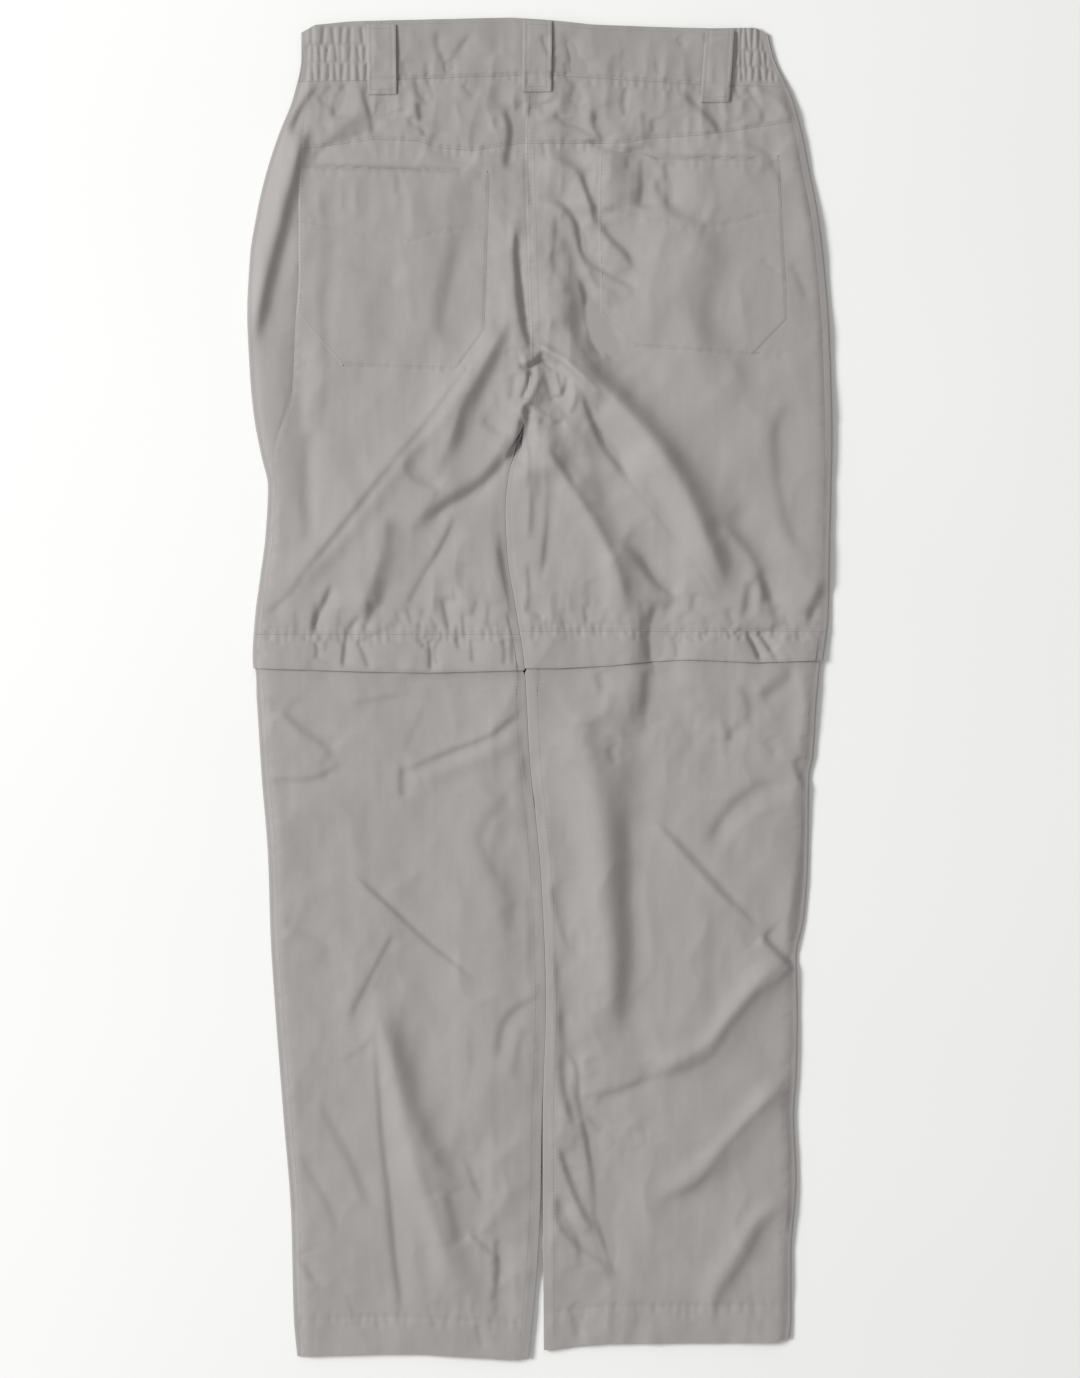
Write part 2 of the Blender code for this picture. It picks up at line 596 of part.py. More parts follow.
def waist_elastic(tag, edge, out, start, under, rows):
    """A side of the waistband: puckered on top, round the edge and a little way under."""
    turn = down(edge)(float(BUTTON_Y)) - out * ROLL
    waves = round(abs(turn - start) / ELASTIC_WAVE)
    spans = (4 * waves, 3, 3)
    bounds = np.cumsum([0, *spans])
    row, column = np.meshgrid(np.arange(ELASTIC_ROWS + 1), np.arange(bounds[-1] + 1), indexing="ij")
    span = np.clip(np.searchsorted(bounds, column, side="left") - 1, 0, len(spans) - 1)
    t = (column - bounds[span]) / np.asarray(spans)[span]

    y = spaced(rows, [ELASTIC_ROWS], row, np.zeros(row.shape))
    for _ in range(SETTLE):
        turn = down(edge)(y) - out * ROLL
        x = np.choose(span, (start + (turn - start) * t, turn + out * ROLL * np.sin(math.pi * t),
                             turn + (under - turn) * t))
        y = spaced(rows, [ELASTIC_ROWS], row, x)

    stitched = np.where(row % 2 == 0, STITCHED_SHARE, 1.0)
    clear_of_loop = ease((np.abs(x - start) - LOOP_WIDTH / 2) / 6)
    pucker = ELASTIC_GATHER * stitched * clear_of_loop * np.abs(np.sin(math.pi * column / 4)) * (span == 0)
    upper = surface(x, y)
    top = surface(turn, y)
    angle = math.pi / 2 - math.pi * t
    shell = []
    for wall in (0.0, CLOTH):
        ring = ROLL - wall
        rise = (top - WAIST_LIFT) / 2 - wall
        wall_x = np.choose(span, (x, turn + out * ring * np.cos(angle), x))
        wall_z = np.choose(span, (
            upper + pucker - wall, (top + WAIST_LIFT) / 2 + rise * np.sin(angle), WAIST_LIFT + wall + 0 * x,
        ))
        shell.append(points(wall_x, y, wall_z))
    cloth_wall(f"waistband_elastic_{tag}", *shell, TRIM_COLOUR)


def strip(name, x_top, x_foot, y_top, y_foot, width, height_at, steps=5, colour=CLOTH_COLOUR):
    """A narrow band of cloth laid flat, its outer face as high as height_at says."""
    row, column = np.meshgrid(np.linspace(0, 1, steps + 1), np.linspace(-0.5, 0.5, 3), indexing="ij")
    x = x_top + (x_foot - x_top) * row + width * column
    y = y_top + (y_foot - y_top) * row
    outer, inner = height_at(x, y)
    cloth_wall(name, points(x, y, outer), points(x, y, inner), colour)


def belt_loops():
    """Three loops over the back of the waistband, and two on the front, flat on the table."""
    def above(x, y):
        rest = surface(x, y) + LOOP_GAP
        return rest + CLOTH, rest

    for loop in BACK_LOOPS:
        strip(f"belt_loop_back_{loop.name}", *loop[1:], LOOP_WIDTH, above)
    for loop in FRONT_LOOPS:
        strip(f"belt_loop_front_{loop.name}", *loop[1:], LOOP_WIDTH, lambda x, y: (0 * x, 0 * x + CLOTH), 1)


def fly():
    """The zip strip behind the fly, and the waist button on the table side."""
    top = float(down(CENTRE)(FLY_TOP_Y))
    foot = float(down(CENTRE)(FLY_FOOT_Y))
    under = CLOTH + SEAM_GAP
    strip(
        "fly_zip", top, foot, FLY_TOP_Y, FLY_FOOT_Y, FLY_WIDTH,
        lambda x, y: (0 * x + under + CLOTH, 0 * x + under), 4, TRIM_COLOUR,
    )
    bm = bmesh.new()
    bmesh.ops.create_cone(
        bm, cap_ends=True, segments=24, radius1=BUTTON_RADIUS, radius2=BUTTON_RADIUS, depth=BUTTON_THICKNESS,
    )
    middle = float(down(CENTRE)(float(BUTTON_Y)))
    bmesh.ops.translate(bm, verts=bm.verts, vec=(middle + BUTTON_ASIDE, BUTTON_Y, BUTTON_THICKNESS / 2))
    finish(bm, "waist_button", BUTTON_COLOUR, 0.4)


def build():
    """Clear the scene and make every piece."""
    for old in list(bpy.data.objects):
        bpy.data.objects.remove(old, do_unlink=True)
    collection = bpy.data.collections.new("zip_off_trousers")
    bpy.context.scene.collection.children.link(collection)
    waistband()
    belt_loops()
    fly()
    for leg in (LEFT, RIGHT):
        back_yoke(leg)
        back_thigh(leg)
        front_pieces(leg)
        knee_zip(leg)
        knee_flap_back(leg)
        back_calf(leg)


build()
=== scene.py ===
"""Zip-off walking trousers, laid flat with the back up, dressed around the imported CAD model.

Sizes are in millimetres until a mesh is laid. X runs to the right of someone who looks down on the
trousers, Y towards the waist and Z up from the table, as in the CAD model. One relief of the cloth's
upper face holds every fold, and each panel is laid on it as a thin shell.
"""

import logging
import math
from collections.abc import Callable, Sequence
from dataclasses import dataclass, field
from enum import Enum
from functools import partial
from typing import NamedTuple

import bpy
import numpy as np
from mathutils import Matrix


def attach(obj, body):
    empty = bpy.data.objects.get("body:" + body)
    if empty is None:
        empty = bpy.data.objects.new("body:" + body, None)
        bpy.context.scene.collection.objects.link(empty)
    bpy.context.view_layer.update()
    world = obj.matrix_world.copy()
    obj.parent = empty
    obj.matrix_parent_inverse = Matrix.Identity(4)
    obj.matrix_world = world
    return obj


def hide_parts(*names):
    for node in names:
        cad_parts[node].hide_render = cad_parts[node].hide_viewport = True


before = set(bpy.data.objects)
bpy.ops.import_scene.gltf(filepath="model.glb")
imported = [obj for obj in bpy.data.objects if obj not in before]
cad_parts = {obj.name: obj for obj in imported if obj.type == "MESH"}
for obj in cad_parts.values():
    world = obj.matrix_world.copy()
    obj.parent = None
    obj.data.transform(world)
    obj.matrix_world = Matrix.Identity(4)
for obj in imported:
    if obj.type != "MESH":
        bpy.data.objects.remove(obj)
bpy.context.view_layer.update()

LOG = logging.getLogger("trousers")
Line = Callable[[np.ndarray], np.ndarray]
Point = tuple[float, float]
Pair = tuple[np.ndarray, np.ndarray]
Height = Callable[[np.ndarray, np.ndarray], np.ndarray]
# How far a front's table side is lifted, its top lowered and its edges drawn in, from y and x
Shift = Callable[[np.ndarray, np.ndarray], tuple[np.ndarray, np.ndarray, np.ndarray]]
# A part of the grid, and for each place in it a distance, a hand and a share
Surround = tuple[tuple[slice, slice], np.ndarray, np.ndarray, np.ndarray]
# A middle and a unit direction for each of a row of stitches
Places = list[tuple[np.ndarray, np.ndarray]]

MM = 0.001

# Driving sizes, mm
CLOTH = 0.6  # Thickness of single cloth
DOUBLE_CLOTH = 1.0  # Thickness of folded cloth
SEAM_GAP = 0.06  # Half the gap between two pieces across a seam
SIDE_GAP = 0.03  # Half the gap at the inner and outer seams
ROLL = 3.0  # How far a rolled edge reaches sideways
LAP = 3.2  # How far the front comes over the inner edge
KNEE_STEP = 1.7  # How far the lower leg lies below its flap
UNDER_FLAP = 14.0  # How far the lower leg goes up under the flap
ZIP_INSET = 1.0  # How far the zip's tape lies below the knee seam
WAIST_LIFT = 1.5  # How high the front's waist stands on its loops
WAIST_LIFT_FROM = 430.0
WAIST_LIFT_RUN = 28.0
SINK_FROM = 24.0  # How far below the flap the lower leg starts to come up to the relief
SINK_RUN = 20.0
CROTCH_Y = 209.0
CROTCH_BLEND = 34.0
WAIST_Y = 474.0
HEM_Y = -520.0
EDGE_CALM = 32.0  # How far from the waist and the hems the large folds die out
HEM_FOLDED = 0.25  # The share of them that is left at the hems
HEM_DEPTH = 29.0
LOWEST = 2.6  # The least height of the upper face
BAND_LEFT_X = -123.5
BAND_RIGHT_X = 138.0
FRONT_LEFT_X = -162.0
FRONT_RIGHT_X = 156.0
LOOP_WIDTH = 22.6
POCKET_INSET = 0.6  # How far a pocket that reaches the outer seam stays from it

# Rounds in which a grid's x and y settle on its sloping lines
PASSES = 5
# Edges sharper than this stay sharp, degrees
CLOTH_SMOOTH_ANGLE = 55.0

# A gather's height and its reach to both hands, how far it leans, and how the lean changes in a row
GATHER = (-1.4, 1.5, 1.2)
GATHER_LEAN = 0.9
GATHER_TURN = 2.3
# The levels that the gathers lie between, and how far the rows of stitches go on past them
GATHERS_TOP = 516.0
GATHERS_FOOT = 473.0
GATHER_MARGIN = 5.0
# Rows of stitches over the elastic, and the places of the gathers above, between and below them
LEFT_ROWS = (502.0, 488.0)
RIGHT_ROWS = (497.3, 484.8)
LEFT_GATHERS = (
    (-177.5, -168.5, -160.5, -154, -147.5, -138),
    (-181, -176.5, -171, -165.5, -158.5, -155, -147.5, -141, -136),
    (-182, -176.5, -171, -164, -159, -153.5, -147.5, -141, -135),
)
RIGHT_GATHERS = (
    (153.5, 157, 161.5, 166, 171, 174, 177),
    (153, 157, 160.5, 166, 172.5, 176.5),
    (153.5, 157.5, 161.5, 167, 172.5, 178, 182.5),
)


class Edge(NamedTuple):
    """A point of a line that runs down the garment, mm."""

    y: float
    x: float


class Cross(NamedTuple):
    """A point of a line that runs across the garment, mm."""

    x: float
    y: float


class Stack(NamedTuple):
    """Height of the two layers where nothing is folded."""

    y: float
    height: float


class Oval(NamedTuple):
    """An oval part of the garment, mm, and how much there is of something in its middle."""

    at: Point
    reach: Point
    much: float

    def over(self, x: np.ndarray, y: np.ndarray) -> np.ndarray:
        """How much there is at any places: less and less away from the middle."""
        away = ((x - self.at[0]) / self.reach[0]) ** 2 + ((y - self.at[1]) / self.reach[1]) ** 2
        return self.much * np.exp(-away)


class Crease(NamedTuple):
    """One fold: a ridge above zero and a trough below it, along a path.

    left and right are its reach on the left and right hand of the way the path runs, and crisp makes
    its crest sharp.
    """

    height: float
    left: float
    right: float
    path: tuple[Point, ...]
    crisp: bool = False


class Fall(NamedTuple):
    """A place where the cloth slopes away from the light and so looks darker.

    drop is how far it goes down, width is half the slope's own width, and run_out is how far away the
    cloth on both sides has come level again. The slope starts at a crest unless it is soft.
    """

    drop: float
    width: float
    run_out: float
    path: tuple[Point, ...]
    soft: bool = False


class Side(Enum):
    """The two legs, named from the wearer's own side."""

    LEFT = "left"
    RIGHT = "right"


CENTRE = (Edge(524, -3), Edge(475, -10), Edge(420, -12), Edge(342, -10), Edge(264, -8), Edge(209, -12))
LEGS_MEET = CENTRE + (
    Edge(186, -19), Edge(163, -25), Edge(139, -27), Edge(100, -25), Edge(69, -20), Edge(16, -12),
    Edge(-56, -8), Edge(-103, -3), Edge(-149, 1), Edge(-243, 4.5),
)
TOP_EDGE = (
    Cross(-187, 511), Cross(-175, 517), Cross(-148, 520), Cross(-23, 523), Cross(8, 521),
    Cross(39, 517.5), Cross(133, 514.5), Cross(168, 515), Cross(178, 510),
)
WAIST_SEAM = (
    Cross(-190, 473), Cross(-109, 475), Cross(-16, 478), Cross(12, 478), Cross(125, 471),
    Cross(185, 469),
)
STACK = (
    Stack(524, 5.4), Stack(475, 5.6), Stack(440, 7.0), Stack(300, 7.6), Stack(60, 8.0),
    Stack(10, 8.0), Stack(-60, 6.8), Stack(-300, 6.4), Stack(-460, 5.6), Stack(-524, 5.2),
)
# Where the cloth is more crumpled than elsewhere, and by how much
CRUMPLED = (
    Oval((-120, 450), (66, 28), 1.3), Oval((0, 448), (60, 26), 1.5), Oval((128, 448), (62, 28), 1.3),
    Oval((22, 345), (40, 72), 1.0), Oval((12, 235), (36, 40), 0.9), Oval((80, 395), (34, 32), 0.7),
    Oval((-150, 385), (50, 32), 0.5), Oval((-105, 66), (112, 24), 0.6), Oval((100, 66), (112, 24), 0.6),
    Oval((120, -25), (96, 36), 0.8), Oval((28, -330), (26, 150), 0.8), Oval((-40, -440), (34, 80), 0.6),
    Oval((120, -500), (90, 20), 0.5), Oval((-15, -70), (22, 80), 0.4), Oval((-20, 300), (30, 90), 0.5),
    Oval((0, 495), (170, 16), 0.5),
)
# Broad swells of the cloth, and their heights in mm
MOUNDS = (
    Oval((17, 221), (56, 56), 2.4),
    Oval((-109, 319), (66, 70), 2.0),
    Oval((117, 326), (70, 70), 2.5),
    Oval((-109, 163), (74, 86), 2.0),
    Oval((117, 147), (70, 86), 2.0),
    Oval((-109, -126), (66, 117), 1.4),
    Oval((117, -259), (62, 125), 1.4),
)

# Folds and creases. Their points were read by eye on the photograph, in pixels, and a separate script
# turned them to half millimetres, at 0.78 mm to a pixel, and set the depth of the soft falls.
MAIN_FORMS = (
    Crease(4.5, 7.5, 9, ((-180, 449.5), (-192.5, 404.5), (-206, 353.5), (-217, 307), (-224.5, 262.5))),
    Crease(5, 7.5, 16, ((-25.5, 293.5), (-37.5, 265.5), (-49, 244), (-61, 223.5), (-68, 203),
        (-75, 176.5))),
    Crease(2.4, 6, 13, ((-19.5, 377), (-21, 342), (-21, 303), (-16.5, 270.5))),
    Crease(-2.8, 7, 4, ((-18, 361), (-18, 340.5), (-14, 307), (-11, 283.5), (-7, 261)), True),
    Crease(3, 20, 8, ((-212, 59.5), (-156, 116), (-101.5, 184.5), (-66.5, 225), (-42, 273.5))),
    Crease(3, 8.5, 18, ((-121.5, 141), (-125, 104), (-133.5, 78.5), (-142, 52))),
    Crease(8, 9, 15, ((3, 268), (30, 248), (54.5, 226.5), (79, 201), (99, 174), (115.5, 144),
        (130, 109.5), (148, 67))),
    Crease(3.6, 9, 10, ((-2.5, 200), (17, 173.5), (37.5, 145.5), (53, 116), (63, 84.5), (69.5, 58))),
    Crease(5.4, 14, 18, ((12.5, -2.5), (31, -40), (43.5, -87), (51.5, -141.5), (54.5, -204), (50, -274))),
    Crease(5, 14, 13, ((-126.5, -231.5), (-114.5, -290), (-100.5, -344.5), (-93, -375.5), (-78, -418.5),
        (-71, -438), (-56, -492.5))),
    Crease(4.2, 9, 15, ((78, -294.5), (107.5, -288), (131, -279), (150.5, -252.5), (168.5, -229),
        (196.5, -207))),
    Crease(3.6, 9, 14, ((89.5, -391), (117, -380), (134, -366), (162, -336.5), (183.5, -313), (198, -302))),
    Crease(3.2, 9, 13, ((129.5, -494), (136.5, -469), (153, -441), (173, -411.5), (196.5, -397.5))),
    Crease(2.4, 9, 9, ((-106, -73), (-66.5, -59), (-31, -43.5), (-9.5, -24.5))),
    Crease(-2, 9, 10, ((-190.5, 289), (-187, 225), (-184, 170.5), (-182.5, 112))),
)
WAIST_CREASES = (
    Crease(-2, 3.2, 2.6, ((-169.5, 471.5), (-178.5, 460.5), (-185, 451), (-193.5, 429.5))),
    Crease(-1.2, 2.6, 2.2, ((-160.5, 471.5), (-165.5, 465.5), (-171.5, 456))),
    Crease(-2.4, 3.4, 2.6, ((-150, 472.5), (-155, 463), (-158.5, 453), (-160, 442.5))),
    Crease(-2.4, 3.2, 2.8, ((-136.5, 471.5), (-134, 456), (-129.5, 442), (-130.5, 427))),
    Crease(-1.8, 2.4, 2.6, ((-129.5, 450.5), (-120, 446.5), (-109, 449.5), (-100.5, 451))),
    Crease(-2, 2.6, 2.2, ((-93.5, 457.5), (-93, 449.5), (-92, 441))),
    Crease(-2, 2.8, 2.6, ((-102, 447.5), (-99, 440.5), (-93, 438), (-87.5, 428.5))),
    Crease(1.6, 9, 9, ((-98.5, 425.5), (-73.5, 420), (-54.5, 417), (-42, 403))),
    Crease(-1.8, 3.2, 2.4, ((-178.5, 407), (-169.5, 419), (-157.5, 426.5), (-145, 429.5), (-131, 435))),
    Crease(-1.8, 3, 2.6, ((-79, 515), (-79, 499.5), (-73.5, 488.5), (-72, 476))),
    Crease(-1.6, 3, 2.8, ((-51.5, 511.5), (-61, 499.5), (-68.5, 488.5), (-72, 478))),
    Crease(-1.4, 2.6, 2.4, ((-88, 492), (-86.5, 478), (-80.5, 456.5))),
    Crease(-1.3, 2.4, 2.2, ((-95, 474.5), (-95, 465.5), (-87.5, 458))),
    Crease(-1.2, 2.2, 2, ((-61, 471.5), (-53, 463.5), (-48.5, 460.5))),
    Crease(-3, 5.2, 4, ((-26.5, 456), (-22.5, 445), (-20.5, 434), (-23.5, 420), (-25.5, 403))),
    Crease(-1.9, 2.4, 2.6, ((-11.5, 448), (-3, 453), (7, 456), (15.5, 457.5))),
    Crease(-1.6, 2.6, 2.2, ((2.5, 510.5), (4, 502.5), (8.5, 492))),
    Crease(-2.8, 4, 4, ((19.5, 513.5), (24, 499.5), (27.5, 487), (28, 470), (25, 451))),
    Crease(-1.2, 1.8, 1.8, ((20.5, 490), (21, 479.5), (23.5, 470))),
    Crease(-1.2, 1.8, 1.8, ((33, 492), (33.5, 481), (31, 471.5))),
    Crease(-2.2, 2.4, 3, ((11, 453), (16.5, 444), (29.5, 439.5), (39, 433.5), (47, 426.5))),
    Crease(-2.6, 3.8, 3.2, ((44.5, 451), (43.5, 439), (48.5, 431), (52.5, 422.5))),
    Crease(-3.2, 2.6, 3, ((36, 427), (47.5, 424), (56, 421), (66.5, 421)), True),
    Crease(-1.8, 2.8, 2.6, ((69.5, 471.5), (65.5, 456.5), (68.5, 444))),
    Crease(-2, 3, 2.6, ((81, 453), (82.5, 439), (82.5, 417.5))),
    Crease(-1.2, 2, 2, ((88, 445), (89.5, 432.5))),
    Crease(-2.4, 3.6, 3.2, ((112.5, 468.5), (121.5, 456.5), (129.5, 449), (137.5, 440.5), (140.5, 430))),
    Crease(-1.8, 2.6, 5, ((139, 429.5), (155, 427), (172.5, 421), (187, 407.5))),
    Crease(-1.7, 2.8, 2.4, ((149, 473), (153.5, 465.5), (159, 458))),
    Crease(-1.8, 3, 2.6, ((160, 471.5), (167, 462), (173, 452), (175.5, 438))),
    Crease(2, 4.5, 5, ((162, 469), (172.5, 463.5), (181.5, 459), (190.5, 451), (196, 439))),
    Crease(-1.6, 2.6, 2.4, ((2.5, 428), (4.5, 418.5), (7, 410))),
    Crease(-1, 2.2, 2.2, ((129.5, 511.5), (130.5, 502.5))),
    Crease(-1, 2.4, 2.2, ((107, 507.5), (113, 500.5))),
    Crease(-0.9, 2.6, 2.6, ((66.5, 511.5), (65.5, 495), (67, 476))),
    Crease(-0.9, 2.4, 2.2, ((91.5, 490), (93, 477))),
    Crease(-1, 2.2, 2.2, ((-106, 490), (-105.5, 475.5))),
    Crease(-1.2, 3, 3, ((179.5, 410), (186.5, 402), (189.5, 393.5))),
)
LEFT_SEAT_CREASES = (
    Crease(-1.7, 9, 8, ((-68.5, 395), (-64.5, 369.5), (-66.5, 332.5), (-72.5, 303), (-77, 262.5))),
    Crease(1.2, 6, 6, ((-31, 412), (-33, 357.5), (-31, 303))),
    Crease(-1, 2.2, 2.2, ((-109, 404.5), (-111, 384))),
    Crease(-1.2, 8, 7, ((-164, 398), (-160.5, 350), (-165.5, 289), (-162, 247))),
    Crease(-1, 9, 9, ((-115.5, 342), (-112.5, 303), (-118.5, 262.5))),
    Crease(-1.3, 2.6, 2.8, ((-217, 53.5), (-206, 62), (-190.5, 77), (-180, 91))),
    Crease(-1.6, 2.8, 3.4, ((-190.5, 78.5), (-160.5, 116), (-109, 180.5), (-89, 204), (-67, 233),
        (-48.5, 259.5))),
    Crease(-1.2, 3, 3, ((-105.5, 178), (-94.5, 162.5), (-77, 159.5))),
    Crease(-1, 3.5, 3, ((-45, 211), (-31, 201.5), (-20.5, 198.5))),
    Crease(-2, 4.5, 4, ((-18.5, 247), (-19.5, 234.5), (-22, 222))),
    Crease(-7, 3.2, 3.4, ((-14, 212.5), (-14, 201.5), (-17, 189), (-25, 178)), True),
    Crease(-4.2, 5, 5, ((-22, 184.5), (-33, 169), (-50, 153.5), (-72, 141), (-90.5, 125))),
    Crease(-1.6, 2.8, 2.4, ((-64, 137.5), (-77, 109.5), (-90.5, 88), (-103, 65), (-109, 54)), True),
    Crease(-1.3, 2.2, 2.4, ((-135.5, 39.5), (-120, 45.5), (-109, 54))),
    Crease(-1.3, 5.5, 5.5, ((-117, 88), (-120, 73.5), (-131, 53.5))),
    Crease(-1.5, 2.6, 2.4, ((-160, 84.5), (-166, 69), (-174, 52.5), (-175.5, 42.5))),
    Crease(-1.2, 2.2, 2.2, ((-150.5, 40), (-146, 49.5), (-137.5, 56.5))),
    Crease(-1, 8, 8, ((-178, 205.5), (-173, 147))),
    Crease(-2.4, 4, 3.4, ((-31, 116), (-25.5, 88), (-20.5, 66), (-16.5, 50.5))),
    Crease(-1.4, 9, 8, ((-56, 100), (-61, 77))),
    Crease(0.9, 7, 8, ((-93.5, 396.5), (-90.5, 353), (-95, 303))),
)
RIGHT_SEAT_CREASES = (
    Crease(4.4, 3.8, 3.2, ((-6, 270.5), (4, 264), (12.5, 258.5), (22, 251.5), (31, 243), (40.5, 233.5),
        (51.5, 222))),
    Crease(2.4, 2.4, 2.4, ((-15.5, 253), (-8, 255.5), (-2.5, 259.5), (1.5, 265.5))),
    Crease(-3.4, 2.2, 2.6, ((-16.5, 254), (-11, 249), (-5.5, 251.5), (1, 255.5), (7, 252.5),
        (10, 247.5)), True),
    Crease(-3.6, 2, 2.2, ((-6, 251.5), (-8, 244), (-10, 234.5), (-15, 223.5)), True),
    Crease(2.8, 3.4, 3, ((2.5, 248.5), (-3, 237.5), (-8, 226.5), (-14, 218), (-20.5, 210))),
    Crease(-1.8, 3, 3, ((7, 251.5), (6, 240.5), (8, 231.5), (12.5, 220.5))),
    Crease(-1.6, 4, 4, ((5.5, 231.5), (2.5, 222), (-1.5, 215.5))),
    Crease(2.2, 2.4, 2.6, ((11, 248.5), (13.5, 237.5), (16.5, 226))),
    Crease(-2.2, 3, 3, ((10, 256), (16.5, 251), (21, 244), (21, 236), (16.5, 226)), True),
    Crease(2.2, 3.2, 3.4, ((22.5, 242), (26.5, 232), (25.5, 222.5), (20.5, 213.5))),
    Crease(-2, 2, 2, ((-11, 223.5), (-10, 214), (-8, 201.5))),
    Crease(-2, 2.6, 3.2, ((-4, 381), (16.5, 380), (26.5, 370), (32, 357), (34.5, 342), (45, 331),
        (54, 324), (68.5, 315.5), (78, 306))),
    Crease(-2.2, 3.4, 3, ((33, 406), (39, 385.5), (43, 375.5), (42, 359))),
    Crease(-2, 3.2, 2.8, ((48.5, 364.5), (57, 351.5), (68.5, 341), (73.5, 329.5))),
    Crease(-1.6, 2.4, 3.2, ((26.5, 328), (33, 316.5), (37.5, 295), (44.5, 270.5), (50.5, 250))),
    Crease(-2.2, 12, 10, ((34.5, 306), (36, 279.5), (51.5, 259.5))),
    Crease(-1.1, 2.6, 2.4, ((14, 369.5), (12.5, 346), (10, 332.5))),
    Crease(-1, 3, 3, ((9.5, 340.5), (12.5, 328), (8, 311))),
    Crease(-1.2, 2.6, 3, ((-9.5, 418.5), (-7, 389), (-4.5, 369.5))),
    Crease(1.4, 5, 5, ((15.5, 356), (18, 328), (15.5, 303))),
    Crease(-2.4, 3, 3, ((-9.5, 222), (-9.5, 203), (-10, 184.5))),
    Crease(2.2, 5, 4, ((-6, 222), (-4.5, 197), (-5.5, 170.5), (-4, 143))),
    Crease(-1.6, 2.8, 2.8, ((-1.5, 209.5), (9.5, 205), (20.5, 208))),
    Crease(-2.6, 4.2, 3.6, ((30.5, 238.5), (36, 225), (45, 201.5), (51.5, 190), (62.5, 175), (73.5, 161))),
    Crease(-1.3, 2.2, 2.4, ((38, 227.5), (51.5, 214), (67, 198.5), (86, 184.5))),
    Crease(-1.6, 3.2, 2.8, ((7, 190.5), (19.5, 173), (29, 158))),
    Crease(-2, 7, 5.5, ((20.5, 170.5), (42, 141), (56, 115), (67, 82.5), (75, 56.5))),
    Crease(-1.4, 2.6, 2.4, ((36.5, 223.5), (51.5, 191.5), (71, 162), (96.5, 130), (117, 103.5),
        (129.5, 85.5), (139, 70.5), (146.5, 56.5))),
    Crease(-2.2, 4.6, 4, ((78, 106.5), (89.5, 88.5), (103, 76), (107.5, 71.5), (101.5, 63), (97.5, 55))),
    Crease(-1, 2.6, 2.6, ((93, 80.5), (96, 64.5))),
    Crease(-2.2, 3.2, 2.8, ((164.5, 87), (161.5, 70.5), (159, 52.5))),
    Crease(-2.4, 3.6, 3.2, ((171.5, 95.5), (177, 75.5), (182.5, 63.5), (181.5, 52))),
    Crease(1.6, 4, 4, ((171, 88.5), (170, 69), (169.5, 53.5))),
    Crease(-1.8, 3.2, 2.6, ((221.5, 80), (213.5, 60.5), (209, 51))),
    Crease(-1.2, 2.8, 2.6, ((-8.5, 206.5), (-7, 178), (-8, 150))),
    Crease(-1.4, 3.2, 3, ((4.5, 197), (8, 164), (7, 133), (2.5, 80.5))),
    Crease(-1.3, 2.6, 2.4, ((-8.5, 100), (-7, 77), (-9.5, 55))),
    Crease(-1.2, 2.2, 2.4, ((-13.5, 62), (-4, 60.5), (4, 52.5))),
    Crease(-1.8, 3.2, 2.8, ((96.5, 414), (100.5, 396.5), (101.5, 373))),
    Crease(-2.2, 6, 3.6, ((82, 415.5), (81, 400), (78, 371.5))),
    Crease(-1.2, 2.4, 2.4, ((68.5, 415.5), (70, 403))),
    Crease(-1.6, 12, 11, ((124, 368.5), (138, 339), (122.5, 306), (132, 277.5), (151.5, 238.5),
        (166, 223.5))),
    Crease(-2.2, 7, 6, ((189, 223.5), (185.5, 194), (189.5, 155), (199.5, 117.5), (212, 103.5))),
    Crease(-1.1, 2.6, 2.4, ((196, 333.5), (203, 317), (209, 301.5))),
    Crease(-0.9, 2.4, 2.4, ((172.5, 335), (186.5, 323.5))),
    Crease(-1, 8, 8, ((151.5, 170.5), (160, 131.5), (165.5, 100))),
)
FLAP_CREASES = (
    Crease(-1.6, 2, 1.8, ((-175.5, 38.5), (-172.5, 30), (-174.5, 22))),
    Crease(-1, 2, 1.8, ((-164.5, 40), (-166, 28.5))),
    Crease(-1.3, 2.2, 2, ((-152, 39.5), (-151.5, 28.5), (-153.5, 16))),
    Crease(-1.6, 3.2, 2.4, ((-142, 39.5), (-135.5, 25.5), (-132, 14.5))),
    Crease(-1.4, 2, 1.8, ((-93, 40), (-89, 31.5))),
    Crease(-2.6, 2.6, 2, ((-86.5, 40), (-85, 26), (-85, 13)), True),
    Crease(-1.4, 2.4, 2, ((-78, 40), (-81, 28.5), (-78, 17))),
    Crease(-1.3, 2, 1.8, ((-64, 41), (-62.5, 30))),
    Crease(-1.3, 2.2, 1.8, ((-53, 39.5), (-51.5, 19))),
    Crease(-1.5, 2.2, 2, ((-28, 39.5), (-26.5, 27), (-28, 17))),
    Crease(-1.4, 2, 1.8, ((-21, 41), (-20.5, 17.5))),
    Crease(-1.8, 4, 4, ((80.5, 45.5), (84, 34), (86.5, 20))),
    Crease(-1.5, 2.2, 2, ((89.5, 44), (89.5, 22))),
    Crease(-1.3, 2.8, 2.4, ((103.5, 44), (107, 33), (107.5, 22))),
    Crease(-2.2, 2.8, 2, ((160, 45.5), (166, 35.5), (171.5, 21.5)), True),
    Crease(-2, 2.6, 2, ((169.5, 45.5), (175.5, 37), (182.5, 28.5))),
    Crease(-1.2, 2.2, 1.8, ((125, 44), (128, 36.5))),
    Crease(-1.2, 2.2, 1.8, ((151.5, 45), (157, 38))),
)
